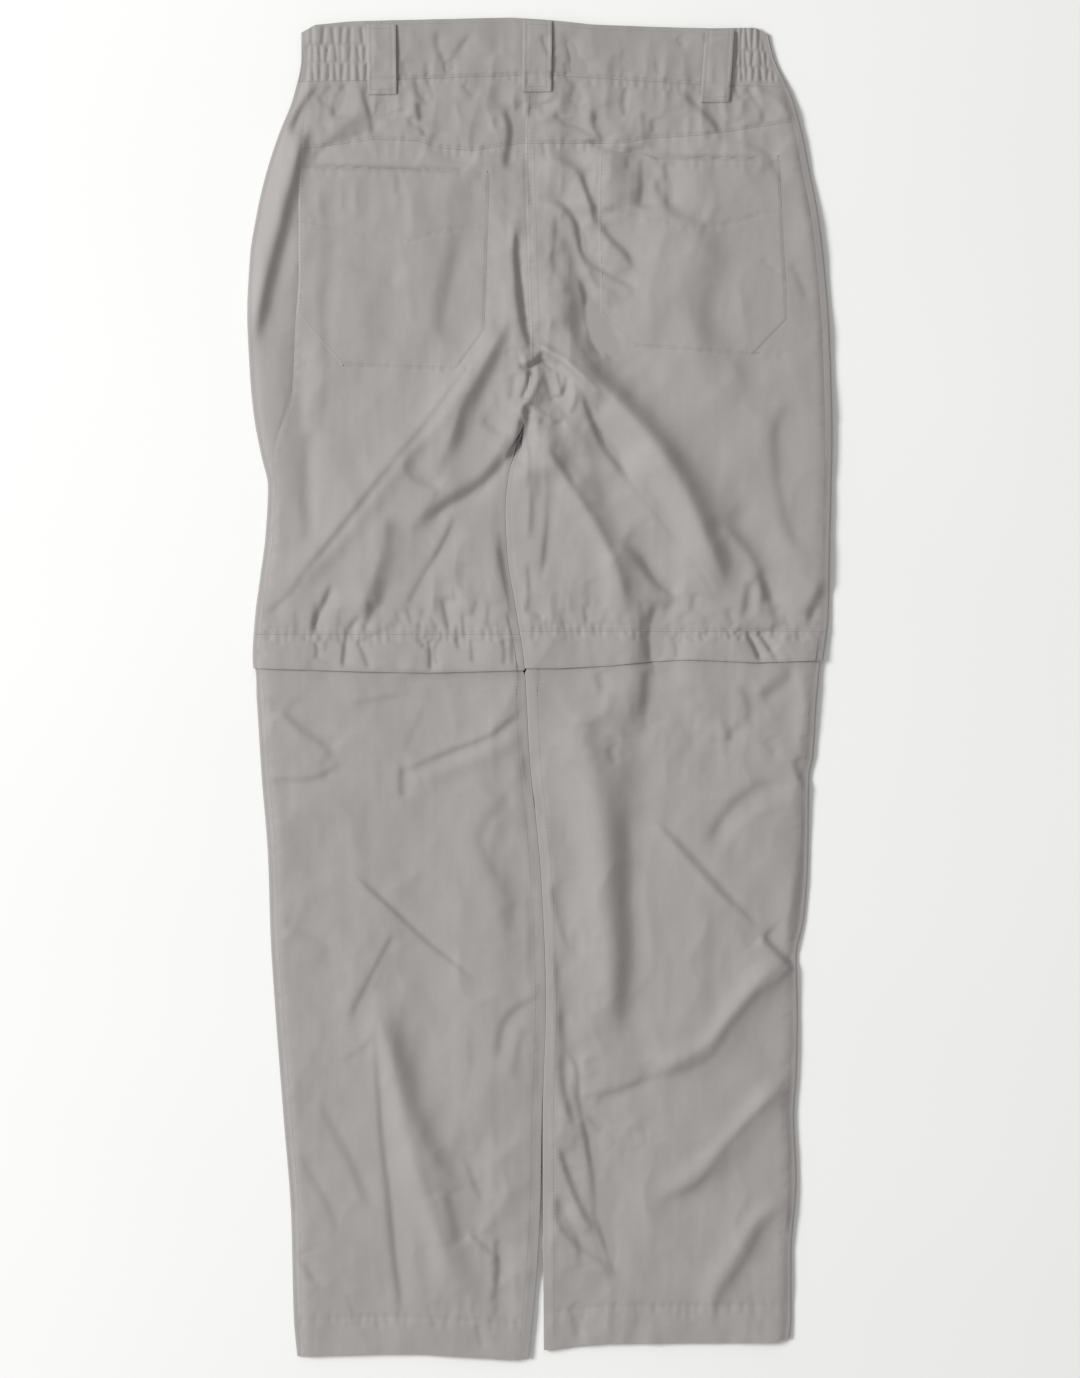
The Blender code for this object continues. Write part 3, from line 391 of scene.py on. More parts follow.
KNEE_PUCKERS = (
    Crease(-1.3, 2, 2, ((-173, 70.5), (-174, 57.5), (-175.5, 40))),
    Crease(-1.6, 2.2, 1.8, ((-162, 80), (-168.5, 65), (-174, 55), (-175.5, 41.5))),
    Crease(-0.9, 2, 2, ((-189, 63.5), (-189.5, 39.5))),
    Crease(-1, 1.8, 1.8, ((-155, 63.5), (-156, 47))),
    Crease(-2.2, 3, 3, ((-129.5, 69), (-132.5, 53.5), (-136.5, 42.5))),
    Crease(-1.1, 1.5, 1.5, ((-139, 57.5), (-146.5, 49.5), (-150.5, 40), (-152, 28.5), (-153, 13.5))),
    Crease(-1, 1.6, 1.6, ((-111.5, 62), (-108.5, 49))),
    Crease(-1.6, 1.8, 1.6, ((-103, 63.5), (-99, 49))),
    Crease(-1, 2, 2, ((-89.5, 64.5), (-94.5, 45.5))),
    Crease(-2, 2.4, 2.6, ((-75, 72), (-72.5, 57.5), (-70, 45.5))),
    Crease(-1.2, 1.6, 1.6, ((-59.5, 60.5), (-58.5, 38.5))),
    Crease(-0.9, 1.6, 1.6, ((-39, 68), (-40.5, 46.5))),
    Crease(-1.4, 1.6, 1.6, ((-25, 60.5), (-20.5, 38.5))),
    Crease(-0.8, 1.8, 1.8, ((-66.5, 80), (-65.5, 66))),
    Crease(-1, 2, 1.8, ((-47.5, 70.5), (-52.5, 56))),
    Crease(-0.9, 2, 1.8, ((-85, 59.5), (-80.5, 44))),
    Crease(-1, 2, 2, ((52.5, 63.5), (51.5, 47))),
    Crease(-1.4, 2, 2, ((78, 70.5), (81, 57.5), (79, 42.5))),
    Crease(-2.4, 2.4, 2.6, ((93.5, 70.5), (89.5, 63.5), (86.5, 52), (86, 36.5), (88, 16))),
    Crease(-1.4, 2, 2, ((100.5, 66.5), (97.5, 52))),
    Crease(-1.2, 2, 2, ((121.5, 75.5), (118, 58))),
    Crease(-1.2, 1.8, 1.8, ((146, 63.5), (151.5, 47))),
    Crease(-1.2, 1.4, 1.4, ((143.5, 49), (150, 38))),
    Crease(-1, 1.4, 1.4, ((152, 47), (157, 36.5))),
    Crease(-1.8, 1.6, 1.8, ((159, 49.5), (166, 35.5), (174, 18.5))),
    Crease(-1.4, 1.6, 1.8, ((169.5, 48), (178, 34), (186.5, 20))),
    Crease(-0.9, 1.4, 1.4, ((180, 49), (185, 38))),
    Crease(-1.2, 1.6, 1.6, ((190.5, 60.5), (194, 44))),
    Crease(-0.9, 1.4, 1.4, ((199.5, 48), (203.5, 35.5))),
    Crease(-1.1, 1.8, 1.8, ((35, 66), (37.5, 50.5))),
    Crease(-0.8, 2, 2, ((64, 59.5), (62.5, 47))),
    Crease(-1, 1.8, 1.6, ((110, 59.5), (112.5, 45.5))),
    Crease(-0.9, 1.6, 1.6, ((129.5, 58), (127, 44))),
    Crease(-0.7, 2, 2, ((15.5, 61), (20.5, 45.5))),
    Crease(-1, 2, 2, ((212, 66), (209, 45.5))),
)
LEFT_CALF_CREASES = (
    Crease(-1.5, 2.6, 3.4, ((-139.5, -12), (-106, -5), (-72, -1), (-29, 2), (-15, 0.5))),
    Crease(-1.7, 3, 3.6, ((-92, -62), (-64, -49), (-36, -36.5), (-11.5, -17.5))),
    Crease(-1.6, 3, 2.6, ((-105.5, -59.5), (-107, -73), (-105.5, -86))),
    Crease(-1.5, 6, 5, ((-215.5, -4.5), (-190.5, -23), (-157, -51))),
    Crease(-1.5, 3, 3.4, ((-211.5, -73), (-171.5, -70.5), (-157, -61))),
    Crease(
        -2, 3.2, 3, ((-143.5, -143), (-123, -162), (-101.5, -182), (-73.5, -206.5), (-52.5, -222.5)), True,
    ),
    Crease(-2, 3, 2.8, ((-111, -187), (-119.5, -202.5), (-128, -218), (-139, -238.5), (-149, -258.5)), True),
    Crease(1.4, 3.5, 6, ((-118.5, -202.5), (-126.5, -221), (-134, -236.5))),
    Crease(-1.8, 3.2, 3.2, ((-127, -266.5), (-125, -305.5), (-122.5, -346), (-117, -391), (-111.5, -446),
        (-104.5, -500.5)), True),
    Crease(-2, 8, 6, ((-111, -291.5), (-100, -329), (-87.5, -375.5), (-73.5, -419), (-61, -461.5))),
    Crease(-1.8, 3.4, 3, ((-58.5, -360), (-50.5, -382), (-42, -402))),
    Crease(-1.5, 3, 2.6, ((-53, -424.5), (-43.5, -434), (-34.5, -442.5))),
    Crease(-2.4, 3.4, 3, ((-32, -425.5), (-31, -442.5), (-32, -460), (-36.5, -483))),
    Crease(-1.6, 3, 2.6, ((-48.5, -494), (-43.5, -514.5))),
    Crease(-2.4, 4.6, 4.2, ((4, -243), (-12.5, -247.5), (-23.5, -257), (-29, -271), (-31, -291.5))),
    Crease(2, 5, 5, ((-15.5, -258.5), (-20.5, -279), (-25, -305.5))),
    Crease(-1.6, 5, 4.4, ((-187, -361), (-174.5, -382), (-163, -401.5), (-153.5, -428))),
    Crease(-1.7, 6, 5, ((-172.5, -316.5), (-159, -339.5), (-146.5, -363), (-126.5, -409))),
    Crease(-1.4, 4, 3.4, ((-191, -436.5), (-182.5, -450.5), (-172.5, -464.5))),
    Crease(-1.2, 6, 6, ((-198, -176), (-182.5, -188.5), (-167.5, -201), (-154.5, -224))),
    Crease(-1.8, 16, 14, ((-173, -91.5), (-178, -126), (-170, -158.5))),
    Crease(-2.4, 7, 6, ((-12.5, -71.5), (-29.5, -93), (-43.5, -118), (-33, -140), (-20.5, -165),
        (-25.5, -205.5))),
    Crease(-2, 5, 5, ((-12.5, -49.5), (-10, -87), (-8, -123))),
    Crease(-1.2, 4, 4, ((-7, -149.5), (-5.5, -196), (-4, -231.5))),
    Crease(-1.2, 5, 5, ((-54.5, -251), (-51.5, -290), (-57.5, -329))),
    Crease(1, 8, 8, ((-78, -102.5), (-68.5, -165), (-54.5, -204))),
    Crease(-1, 3, 3, ((-86, -9), (-96.5, -32.5), (-106, -52.5))),
    Crease(-1.3, 3, 3, ((-148, -469), (-143.5, -500.5))),
    Crease(-1, 3, 3, ((-86, -477), (-81, -500.5))),
)
RIGHT_CALF_CREASES = (
    Crease(-1.8, 11, 12, ((64, -63.5), (68.5, -110.5), (68.5, -149.5), (68.5, -204), (62.5, -274))),
    Crease(-1.6, 3, 2.8, ((44.5, 13.5), (49, -2.5))),
    Crease(-1.8, 3, 2.8, ((83.5, 15), (82, -1), (82, -16))),
    Crease(-1.4, 2.8, 3.2, ((36, -26), (49, -31), (64, -39.5))),
    Crease(-1.4, 2.6, 2.8, ((53, -45), (60, -58))),
    Crease(-1.2, 3.6, 3.4, ((156, 3.5), (164, -12), (164, -20), (160.5, -27.5))),
    Crease(-1.4, 2.6, 2.4, ((148, -31), (150.5, -41))),
    Crease(1.8, 9, 6, ((166, -4.5), (180, 3.5), (195, 14.5))),
    Crease(-1.8, 5.5, 5, ((173, -9), (185.5, 0.5), (201, 11.5))),
    Crease(-1.4, 3, 3, ((176.5, -38), (184, -52))),
    Crease(-2.2, 4, 3.4, ((199, -52.5), (202, -63.5), (209, -75.5))),
    Crease(-2.4, 5.5, 6, ((133.5, -123), (144.5, -101), (167, -78.5), (196, -73.5))),
    Crease(1.6, 5, 5, ((137.5, -138.5), (156, -107), (179.5, -91.5), (203, -87))),
    Crease(1.6, 4.5, 3.5, ((89.5, -102.5), (120, -135.5), (148, -166.5), (174.5, -193)), True),
    Crease(-1.4, 3.4, 2.6, ((95, -102.5), (125, -134), (153, -165), (176.5, -190))),
    Crease(-2.2, 3.4, 3, ((173, -190), (185.5, -204), (200.5, -217))),
    Crease(-1.8, 2.8, 2.4, ((12.5, -274), (25.5, -286.5), (30.5, -321), (39, -363), (44.5, -408.5),
        (55.5, -443.5), (61.5, -463))),
    Crease(-2.6, 4.4, 4, ((18.5, -243), (17, -279), (21, -316.5), (30.5, -347.5))),
    Crease(-2, 3.2, 2.8, ((15, -352), (26.5, -386.5), (40.5, -419))),
    Crease(-1.8, 3, 2.8, ((15, -399), (31, -431.5), (33.5, -447.5))),
    Crease(-1.2, 2.8, 2.6, ((35, -329), (50, -347.5))),
    Crease(-1, 5, 5, ((68.5, -346), (86, -344.5))),
    Crease(-1.8, 3, 2.8, ((24, -478.5), (27.5, -492.5), (30.5, -506.5))),
    Crease(-1.8, 3.2, 2.8, ((10, -148), (15.5, -176.5), (26.5, -208.5))),
    Crease(-1.2, 9, 8, ((117, -9), (112.5, -56), (106, -102.5))),
    Crease(-1, 10, 10, ((93.5, -422.5), (96.5, -469))),
    Crease(-1.2, 5, 4, ((87.5, -293), (75, -310), (39, -319.5))),
    Crease(-1.8, 5, 6, ((47, -316.5), (78, -308.5), (106, -300.5), (129.5, -291.5), (150, -265),
        (170, -240), (195, -219.5))),
    Crease(-1.8, 5, 6, ((93.5, -403.5), (107.5, -397.5), (128.5, -383.5), (143.5, -361.5), (170, -333.5),
        (195, -310))),
    Crease(-1.6, 5, 6, ((137.5, -500.5), (143.5, -472.5), (162, -446), (176.5, -419), (195, -407))),
    Crease(-1, 3, 3, ((75, -474), (78, -500.5))),
    Crease(-1, 3, 3, ((165.5, -469), (168.5, -492.5))),
    Crease(1, 5, 4, ((157.5, -243), (176.5, -221), (195, -210))),
)
WAIST_FALLS = (
    Fall(1.8, 5.5, 14, ((-77, 513.5), (-79.5, 501), (-73.5, 488.5)), True),
    Fall(2, 4, 14, ((-51.5, 511.5), (-62.5, 498), (-70, 485.5), (-73.5, 476))),
    Fall(4, 6, 18, ((20.5, 509), (23.5, 496.5), (29, 485.5), (26.5, 471.5), (22, 460.5), (28, 449.5))),
    Fall(4, 5.5, 16, ((42, 454.5), (46, 439.5), (48.5, 426.5))),
    Fall(2, 4, 14, ((84, 451), (86, 435.5), (86.5, 420))),
    Fall(1.8, 4, 14, ((67, 471.5), (66.5, 459), (68.5, 445))),
    Fall(4, 5.5, 16, ((117, 470.5), (126.5, 457.5), (137.5, 445), (142.5, 432.5))),
    Fall(3, 4.5, 14, ((142, 432.5), (160, 428.5), (173, 422.5), (185, 413))),
    Fall(1.6, 4, 12, ((4, 421), (15.5, 416), (25, 410.5), (33.5, 403.5))),
    Fall(4.5, 4.5, 16, ((-25.5, 456), (-22, 445), (-20.5, 432.5), (-22, 418.5), (-25.5, 401.5))),
    Fall(2.7, 8, 18, ((-94.5, 462), (-87.5, 445), (-83.5, 426.5)), True),
    Fall(2, 6, 16, ((-91.5, 423), (-74, 412), (-48.5, 407)), True),
    Fall(2.2, 6, 16, ((-131, 465.5), (-132.5, 449.5), (-146.5, 439), (-164, 429.5)), True),
    Fall(3, 3, 14, ((-168.5, 471.5), (-179.5, 460.5), (-189, 447.5), (-196.5, 431))),
    Fall(1.6, 4, 14, ((-150, 471.5), (-157, 459), (-160.5, 445))),
)
LEFT_SEAT_FALLS = (
    Fall(3.8, 4, 14, ((-177, 443.5), (-187, 408.5), (-195, 377), (-203, 346), (-210.5, 318.5),
        (-217, 287.5), (-223, 262.5)), True),
    Fall(2.9, 8.5, 24, ((-61, 403), (-59.5, 381), (-58.5, 361.5), (-64, 348.5), (-68.5, 334),
        (-72.5, 317), (-75, 299), (-75.5, 279.5), (-75, 262.5)), True),
    Fall(1.6, 10, 24, ((-132.5, 312.5), (-132.5, 287.5), (-131, 268), (-135.5, 247)), True),
    Fall(2.5, 12.5, 26, ((-170, 270.5), (-166, 244.5), (-170, 225), (-179.5, 201.5)), True),
    Fall(2.5, 6, 16, ((-182.5, 205.5), (-183.5, 178), (-184, 155), (-182.5, 131.5), (-184, 108)), True),
    Fall(1.3, 8.5, 18, ((-185, 332.5), (-156, 330.5), (-132.5, 322.5), (-111.5, 308.5)), True),
    Fall(2, 2.5, 12, ((-18, 361), (-18.5, 342), (-18, 322.5), (-16.5, 303), (-13.5, 283.5),
        (-9.5, 262.5)), True),
    Fall(4, 7, 20, ((-19.5, 279.5), (-29, 264), (-37.5, 248.5), (-46, 230.5), (-54.5, 213.5),
        (-61.5, 196), (-70, 178), (-78, 161))),
    Fall(3.6, 5.5, 16, ((-18, 209.5), (-22.5, 190.5), (-31, 176.5), (-42, 163.5), (-58.5, 153.5),
        (-74, 144), (-87.5, 133), (-100, 114.5))),
    Fall(3.8, 8, 22, ((-111, 136), (-114, 119.5), (-116, 105.5), (-120, 91), (-125, 77), (-130.5, 64.5),
        (-134, 50.5))),
    Fall(2.2, 4, 14, ((-66.5, 139), (-68.5, 125), (-75, 112), (-82.5, 100))),
    Fall(2, 6, 16, ((-31, 125), (-30.5, 106.5), (-27.5, 88.5), (-22, 67.5)), True),
    Fall(1.6, 4.5, 14, ((-106, 184.5), (-100, 172), (-90.5, 161), (-76.5, 153.5)), True),
    Fall(1, 2.5, 12, ((-53, 238.5), (-74, 217), (-101.5, 186), (-128.5, 155), (-156, 122), (-183.5, 91),
        (-200.5, 73.5))),
    Fall(1.6, 8, 18, ((-32, 231.5), (-38, 215.5), (-45, 200)), True),
)
RIGHT_SEAT_FALLS = (
    Fall(8.4, 15.5, 26, ((61, 423), (64, 404.5), (67, 389), (68.5, 371.5)), True),
    Fall(1, 2.5, 10, ((80.5, 416), (79.5, 400.5), (79, 385), (78, 370))),
    Fall(2.9, 5.5, 18, ((89.5, 400), (93.5, 385), (101.5, 373), (115.5, 365.5), (131, 361)), True),
    Fall(5.4, 13.5, 30, ((123, 365.5), (135.5, 350), (140.5, 336), (135.5, 320), (129.5, 306),
        (128, 291.5), (135.5, 275.5), (145, 262.5), (156, 247), (170, 227.5)), True),
    Fall(1, 3, 12, ((135.5, 410), (134, 396.5), (139, 385), (139.5, 368.5))),
    Fall(2.4, 3, 14, ((4, 414.5), (21, 410), (31, 403.5), (35, 394.5), (40.5, 381), (43.5, 369.5),
        (45, 356))),
    Fall(2.4, 4, 14, ((43.5, 371.5), (53, 355.5), (62.5, 344.5), (70, 336), (75, 326.5))),
    Fall(2.4, 3, 12, ((-4.5, 382), (11.5, 379.5), (21, 373), (28, 363), (31, 351.5), (35, 336.5),
        (40.5, 326.5), (47, 314.5), (56, 311), (65.5, 300))),
    Fall(1.3, 3, 10, ((36, 332.5), (49, 325.5), (62.5, 318.5), (75, 311)), True),
    Fall(5.4, 11, 26, ((29.5, 325), (29, 303), (29, 286), (39, 268), (51.5, 252.5), (65.5, 234.5))),
    Fall(2.2, 2.5, 10, ((31, 324), (36, 303), (41.5, 286), (47, 272), (57.5, 253))),
    Fall(6.4, 10, 28, ((50, 256), (64, 242), (78, 228), (90.5, 214), (101.5, 200), (111.5, 186),
        (121, 172), (129.5, 157), (137.5, 141), (142.5, 125), (146.5, 108), (150.5, 88.5), (157, 66.5))),
    Fall(4, 4.5, 16, ((140.5, 131.5), (154.5, 120.5), (164, 109.5), (171.5, 97), (176.5, 81.5), (178, 63))),
    Fall(3, 3, 12, ((170, 89.5), (164.5, 77), (161.5, 58))),
    Fall(2.4, 2.5, 12, ((187, 68), (184, 56.5), (181.5, 44))),
    Fall(3.6, 4.5, 18, ((4.5, 192.5), (17, 174.5), (28, 158.5), (39, 144), (49, 128.5), (57.5, 112),
        (64, 98.5), (68.5, 83), (74, 63))),
    Fall(2.8, 4, 16, ((32, 240), (37.5, 225), (41.5, 212.5), (47, 200), (56, 186), (69.5, 170.5))),
    Fall(1, 2, 10, ((68, 172), (86, 149.5), (103, 130), (121, 105.5), (136.5, 84.5), (145, 63.5))),
    Fall(2.7, 7, 20, ((24, 212), (34.5, 194), (40.5, 178), (44.5, 161), (52.5, 141.5)), True),
    Fall(3.4, 5.5, 18, ((61, 116), (74, 103.5), (84, 91), (93.5, 80), (104.5, 69)), True),
    Fall(1.4, 4, 14, ((34.5, 84.5), (37.5, 72), (36, 61))),
    Fall(2.8, 8, 22, ((196, 230.5), (190.5, 213.5), (189, 194), (191, 170.5), (193.5, 147), (198, 130),
        (206, 114.5), (217.5, 99.5))),
    Fall(3, 4, 14, ((221.5, 84), (214.5, 69), (207.5, 54))),
    Fall(2.6, 2.5, 10, ((-10, 219), (-8, 197.5), (-6, 170.5), (-5.5, 143), (-7, 112))),
    Fall(1.6, 3, 12, ((7, 189), (11, 166.5), (10, 143), (6, 116), (2.5, 87))),
    Fall(9.6, 20.5, 40, ((12.5, 375), (17, 338), (23.5, 299), (34.5, 262.5), (40.5, 217),
        (47, 162.5)), True),
    Fall(3.4, 14, 30, ((56, 392), (61, 350), (68.5, 299)), True),
    Fall(7.8, 13.5, 30, ((68.5, 123.5), (76.5, 92.5), (79.5, 61), (82, 22), (78, -12), (73.5, -40)), True),
    Fall(11.8, 15.5, 34, ((-11, 286), (-1.5, 251.5), (5.5, 217), (12.5, 186), (18.5, 159.5)), True),
    Fall(3.8, 3, 12, ((-11.5, 208), (-14, 198.5), (-18.5, 189), (-25.5, 177.5))),
    Fall(-3.4, 4, 14, ((-6, 268.5), (6, 262.5), (20.5, 253), (34.5, 243), (50, 229.5), (62.5, 217))),
    Fall(3.4, 12.5, 28, ((75, 443.5), (73.5, 420), (76.5, 392.5), (79.5, 365.5)), True),
)
LEFT_CALF_FALLS = (
    Fall(2.4, 4.5, 14, ((-114.5, 10.5), (-62.5, 10), (-11, 9))),
    Fall(0.8, 1.5, 8, ((-153.5, -12), (-125, -8), (-93.5, -6), (-62.5, -3.5), (-31, -1), (-14, 1))),
    Fall(2.4, 4.5, 16, ((-200.5, -11.5), (-187, -28.5), (-171.5, -38), (-158.5, -50.5))),
    Fall(1, 2, 10, ((-210.5, -70.5), (-171.5, -68), (-160, -62), (-153.5, -55))),
    Fall(2.2, 2.5, 12, ((-12.5, -17), (-25, -26), (-35, -35.5), (-47, -41), (-78, -52), (-107, -66))),
    Fall(1.4, 3.5, 12, ((-107, -58), (-105.5, -71.5), (-107.5, -84.5))),
    Fall(1.6, 17, 30, ((-162, -93), (-170, -122), (-182.5, -149.5)), True),
    Fall(3.4, 11, 24, ((-18.5, -84), (-31, -106.5), (-36, -124.5), (-29.5, -143), (-20.5, -158.5),
        (-13.5, -171)), True),
    Fall(1.4, 4.5, 14, ((-28, -167.5), (-23.5, -188.5), (-22, -205.5))),
    Fall(2.4, 3, 12, ((-11.5, -46.5), (-8, -71.5), (-4, -87), (-1.5, -104))),
    Fall(1.1, 1.5, 10, ((-148, -140), (-132.5, -155), (-113, -173), (-93.5, -192.5), (-74, -208),
        (-47.5, -229))),
    Fall(1, 1.5, 10, ((-112.5, -187), (-121, -204), (-131, -223.5), (-140.5, -243), (-149, -260))),
    Fall(1.8, 9.5, 20, ((-108.5, -182), (-114.5, -212), (-123, -241.5)), True),
    Fall(1.3, 4, 16, ((5.5, -229.5), (-8, -245.5), (-19.5, -251.5), (-27.5, -259.5), (-31, -274),
        (-31, -291.5))),
    Fall(1, 3, 12, ((-200.5, -183.5), (-183.5, -188.5), (-162, -201))),
    Fall(5, 8.5, 22, ((-119.5, -244.5), (-109, -278), (-100, -307), (-89, -336.5), (-77, -360),
        (-65.5, -373), (-54.5, -386.5))),
    Fall(2.7, 6, 16, ((-75, -389), (-68.5, -410.5), (-66.5, -434)), True),
    Fall(1.5, 3, 12, ((-128, -243), (-126.5, -290), (-122.5, -344.5), (-118, -399), (-113, -446),
        (-108.5, -485), (-107, -513.5))),
    Fall(0.8, 4, 14, ((-172.5, -315.5), (-164, -336.5), (-152, -360), (-140.5, -387.5), (-133.5, -404.5))),
    Fall(0.7, 4, 14, ((-188, -350.5), (-179.5, -371.5), (-167.5, -391), (-153.5, -425.5))),
    Fall(1.4, 3, 12, ((-188, -436.5), (-179.5, -453.5), (-169.5, -467))),
    Fall(1.8, 18.5, 30, ((-154.5, -447.5), (-164, -477), (-171.5, -506.5)), True),
    Fall(1.8, 3, 12, ((-33, -424), (-31, -446), (-32, -469), (-36, -495))),
    Fall(1.2, 1.5, 8, ((-56, -423), (-43, -432.5), (-32, -445))),
    Fall(1.8, 3, 12, ((-1.5, -428.5), (-4, -461.5), (-8, -500.5), (-10, -516))),
    Fall(1.2, 3, 10, ((-3, -268.5), (0, -283.5))),
    Fall(0.9, 1.5, 8, ((-153.5, -289), (-136.5, -278), (-128.5, -268.5))),
    Fall(-6.2, 40.5, 60, ((-56, 147), (-54.5, -9), (-61, -165), (-68.5, -368)), True),
    Fall(2, 14, 30, ((-148, 209.5), (-146.5, 131.5), (-143.5, 69)), True),
)
RIGHT_CALF_FALLS = (
    Fall(7.6, 13.5, 34, ((62.5, -1), (67, -44), (68.5, -71.5), (65.5, -102.5), (65.5, -134),
        (65.5, -165), (67, -196), (65.5, -227.5), (65.5, -258.5), (69.5, -282)), True),
    Fall(3, 4.5, 16, ((86.5, 20), (83.5, -9), (79.5, -24.5))),
    Fall(1.6, 3, 12, ((47, 16), (49, -4.5))),
    Fall(1.6, 12.5, 24, ((79.5, 0.5), (54.5, -20.5), (29.5, -38)), True),
    Fall(1, 2.5, 10, ((25.5, -27), (39, -27.5), (50.5, -33), (65.5, -39.5))),
    Fall(2, 4.5, 16, ((200.5, 20), (183.5, 5), (168.5, -10.5))),
    Fall(1, 2.5, 12, ((155, 8), (161.5, -9), (163, -20.5), (159, -27.5))),
    Fall(1.6, 3, 12, ((149, -27), (147.5, -41.5))),
    Fall(1.6, 4, 12, ((209, 16), (210.5, -9), (212, -41.5))),
    Fall(1.8, 2.5, 10, ((203, -50.5), (200.5, -59.5), (207.5, -77))),
    Fall(1.7, 6, 18, ((128, -124.5), (139, -104), (152, -89.5), (167.5, -77.5), (187, -73),
        (202, -73)), True),
    Fall(1, 4.5, 12, ((164, -137), (164, -122), (169.5, -107))),
    Fall(2.4, 4.5, 16, ((209, -93), (203, -149.5), (197.5, -188.5), (199, -213.5))),
    Fall(1.6, 2, 10, ((89.5, -101), (103, -116.5), (122.5, -138.5), (138, -155.5), (155, -173))),
    Fall(2.6, 2, 12, ((172.5, -190.5), (185.5, -204), (199, -218))),
    Fall(3.5, 6, 20, ((200.5, -222), (185.5, -231.5), (173, -239), (160, -251), (148, -264),
        (135.5, -277.5), (123, -288), (107.5, -297), (87.5, -304.5))),
    Fall(1.2, 3, 12, ((87.5, -304), (66.5, -311.5), (47, -316.5), (28, -320))),
    Fall(1.8, 6, 16, ((8, -148), (14, -165), (20.5, -184.5), (27.5, -209.5)), True),
    Fall(2.6, 3, 12, ((12.5, -194.5), (14, -223.5), (17, -251), (19.5, -278), (19.5, -304), (22, -321),
        (32, -348.5))),
    Fall(2.9, 6, 18, ((199.5, -297.5), (186.5, -318.5), (172.5, -332), (160.5, -345), (149, -360),
        (136.5, -377), (122.5, -389), (104.5, -396.5), (84, -406))),
    Fall(2.8, 7, 20, ((196.5, -407), (182.5, -410), (174, -417.5), (165.5, -431), (159, -446),
        (151.5, -461.5), (143.5, -475.5), (139.5, -488.5), (138, -503.5))),
    Fall(1.8, 11, 22, ((153, -432.5), (142, -453.5), (128.5, -477)), True),
    Fall(2.4, 2.5, 12, ((15, -354.5), (22, -377), (29.5, -396), (45, -424))),
    Fall(2.4, 2.5, 12, ((14, -389.5), (17, -418.5), (25.5, -428.5), (45, -444), (59.5, -453))),
    Fall(1.4, 3, 12, ((31, -436.5), (31, -452))),
    Fall(1.4, 3, 12, ((34.5, -328), (47, -340.5), (61.5, -351.5))),
    Fall(1.1, 6, 16, ((77, -333.5), (84, -355.5)), True),
    Fall(1.1, 6, 16, ((40.5, -283), (40.5, -304.5)), True),
    Fall(1.2, 1, 8, ((25, -477), (29, -492.5), (31, -508))),
    Fall(1.4, 3, 14, ((197.5, -311.5), (196, -391), (194, -502))),
    Fall(1.2, 1, 8, ((12.5, -275), (27.5, -292), (31, -321), (42, -383.5), (49, -426.5), (61.5, -465.5))),
    Fall(3.4, 12.5, 28, ((33.5, -299), (37.5, -383.5), (43.5, -485)), True),
)
CREASES = (
    WAIST_CREASES, LEFT_SEAT_CREASES, RIGHT_SEAT_CREASES, FLAP_CREASES, KNEE_PUCKERS,
    LEFT_CALF_CREASES, RIGHT_CALF_CREASES,
)
FALLS = (WAIST_FALLS, LEFT_SEAT_FALLS, RIGHT_SEAT_FALLS, LEFT_CALF_FALLS, RIGHT_CALF_FALLS)


def hermite(ends: Pair, slopes: Pair, run: np.ndarray, t: np.ndarray) -> np.ndarray:
    """A smooth curve between two knots.

    Args:
        ends: The values at the two knots.
        slopes: The slopes there.
        run: The distance between the knots.
        t: How far along each place lies, from 0 to 1.

    Returns:
        The curve's values.
    """
    return (
        ends[0] * (2 * t**3 - 3 * t**2 + 1)
        + slopes[0] * run * (t**3 - 2 * t**2 + t)
        + ends[1] * (3 * t**2 - 2 * t**3)
        + slopes[1] * run * (t**3 - t**2)
    )


def curve_through(table: Sequence[Edge], place: np.ndarray) -> np.ndarray:
    """A smooth line through a table's rows that never swings past them.

    Args:
        table: Points of the line, from waist to hem.
        place: The y at which the line is read.

    Returns:
        The line's x for each place.
    """
    spots = np.array([row.y for row in table][::-1], float)
    values = np.array([row.x for row in table][::-1], float)
    secants = np.diff(values) / np.diff(spots)
    product = secants[:-1] * secants[1:]
    total = np.where(product > 0, secants[:-1] + secants[1:], 1.0)
    slopes = np.where(product > 0, 2 * product / total, 0.0)
    slopes = np.concatenate([secants[:1], slopes, secants[-1:]])
    place = np.clip(np.asarray(place, float), spots[0], spots[-1])
    cell = np.clip(np.searchsorted(spots, place, side="right") - 1, 0, len(spots) - 2)
    length = spots[cell + 1] - spots[cell]
    t = (place - spots[cell]) / length
    return hermite((values[cell], values[cell + 1]), (slopes[cell], slopes[cell + 1]), length, t)


def down(table: Sequence[Edge], shift: float = 0.0) -> Line:
    """A line that runs down the garment, as x for a given y."""
    return lambda y: curve_through(table, y) + shift


def across(table: Sequence[Cross], shift: float = 0.0) -> Line:
    """A line that runs across the garment, as y for a given x."""
    return lambda x: np.interp(x, [row.x for row in table], [row.y for row in table]) + shift


def level(value: float) -> Line:
    """A straight line, the same everywhere."""
    return lambda place: np.full(np.shape(place), float(value))


def shifted(line: Line, shift: float) -> Line:
    """A line moved aside."""
    return lambda place: line(place) + shift


def mix(one: np.ndarray, other: np.ndarray, share: np.ndarray) -> np.ndarray:
    """From one value to another, by a share from 0 to 1."""
    return one + (other - one) * share


def hill(distance: np.ndarray, reach: float) -> np.ndarray:
    """1 where there is no distance, falling softly to almost nothing at twice the reach."""
    return np.exp(-((distance / reach) ** 2))


def ease(t: np.ndarray) -> np.ndarray:
    """From 0 to 1 with soft ends."""
    t = np.clip(t, 0.0, 1.0)
    return t * t * (3.0 - 2.0 * t)


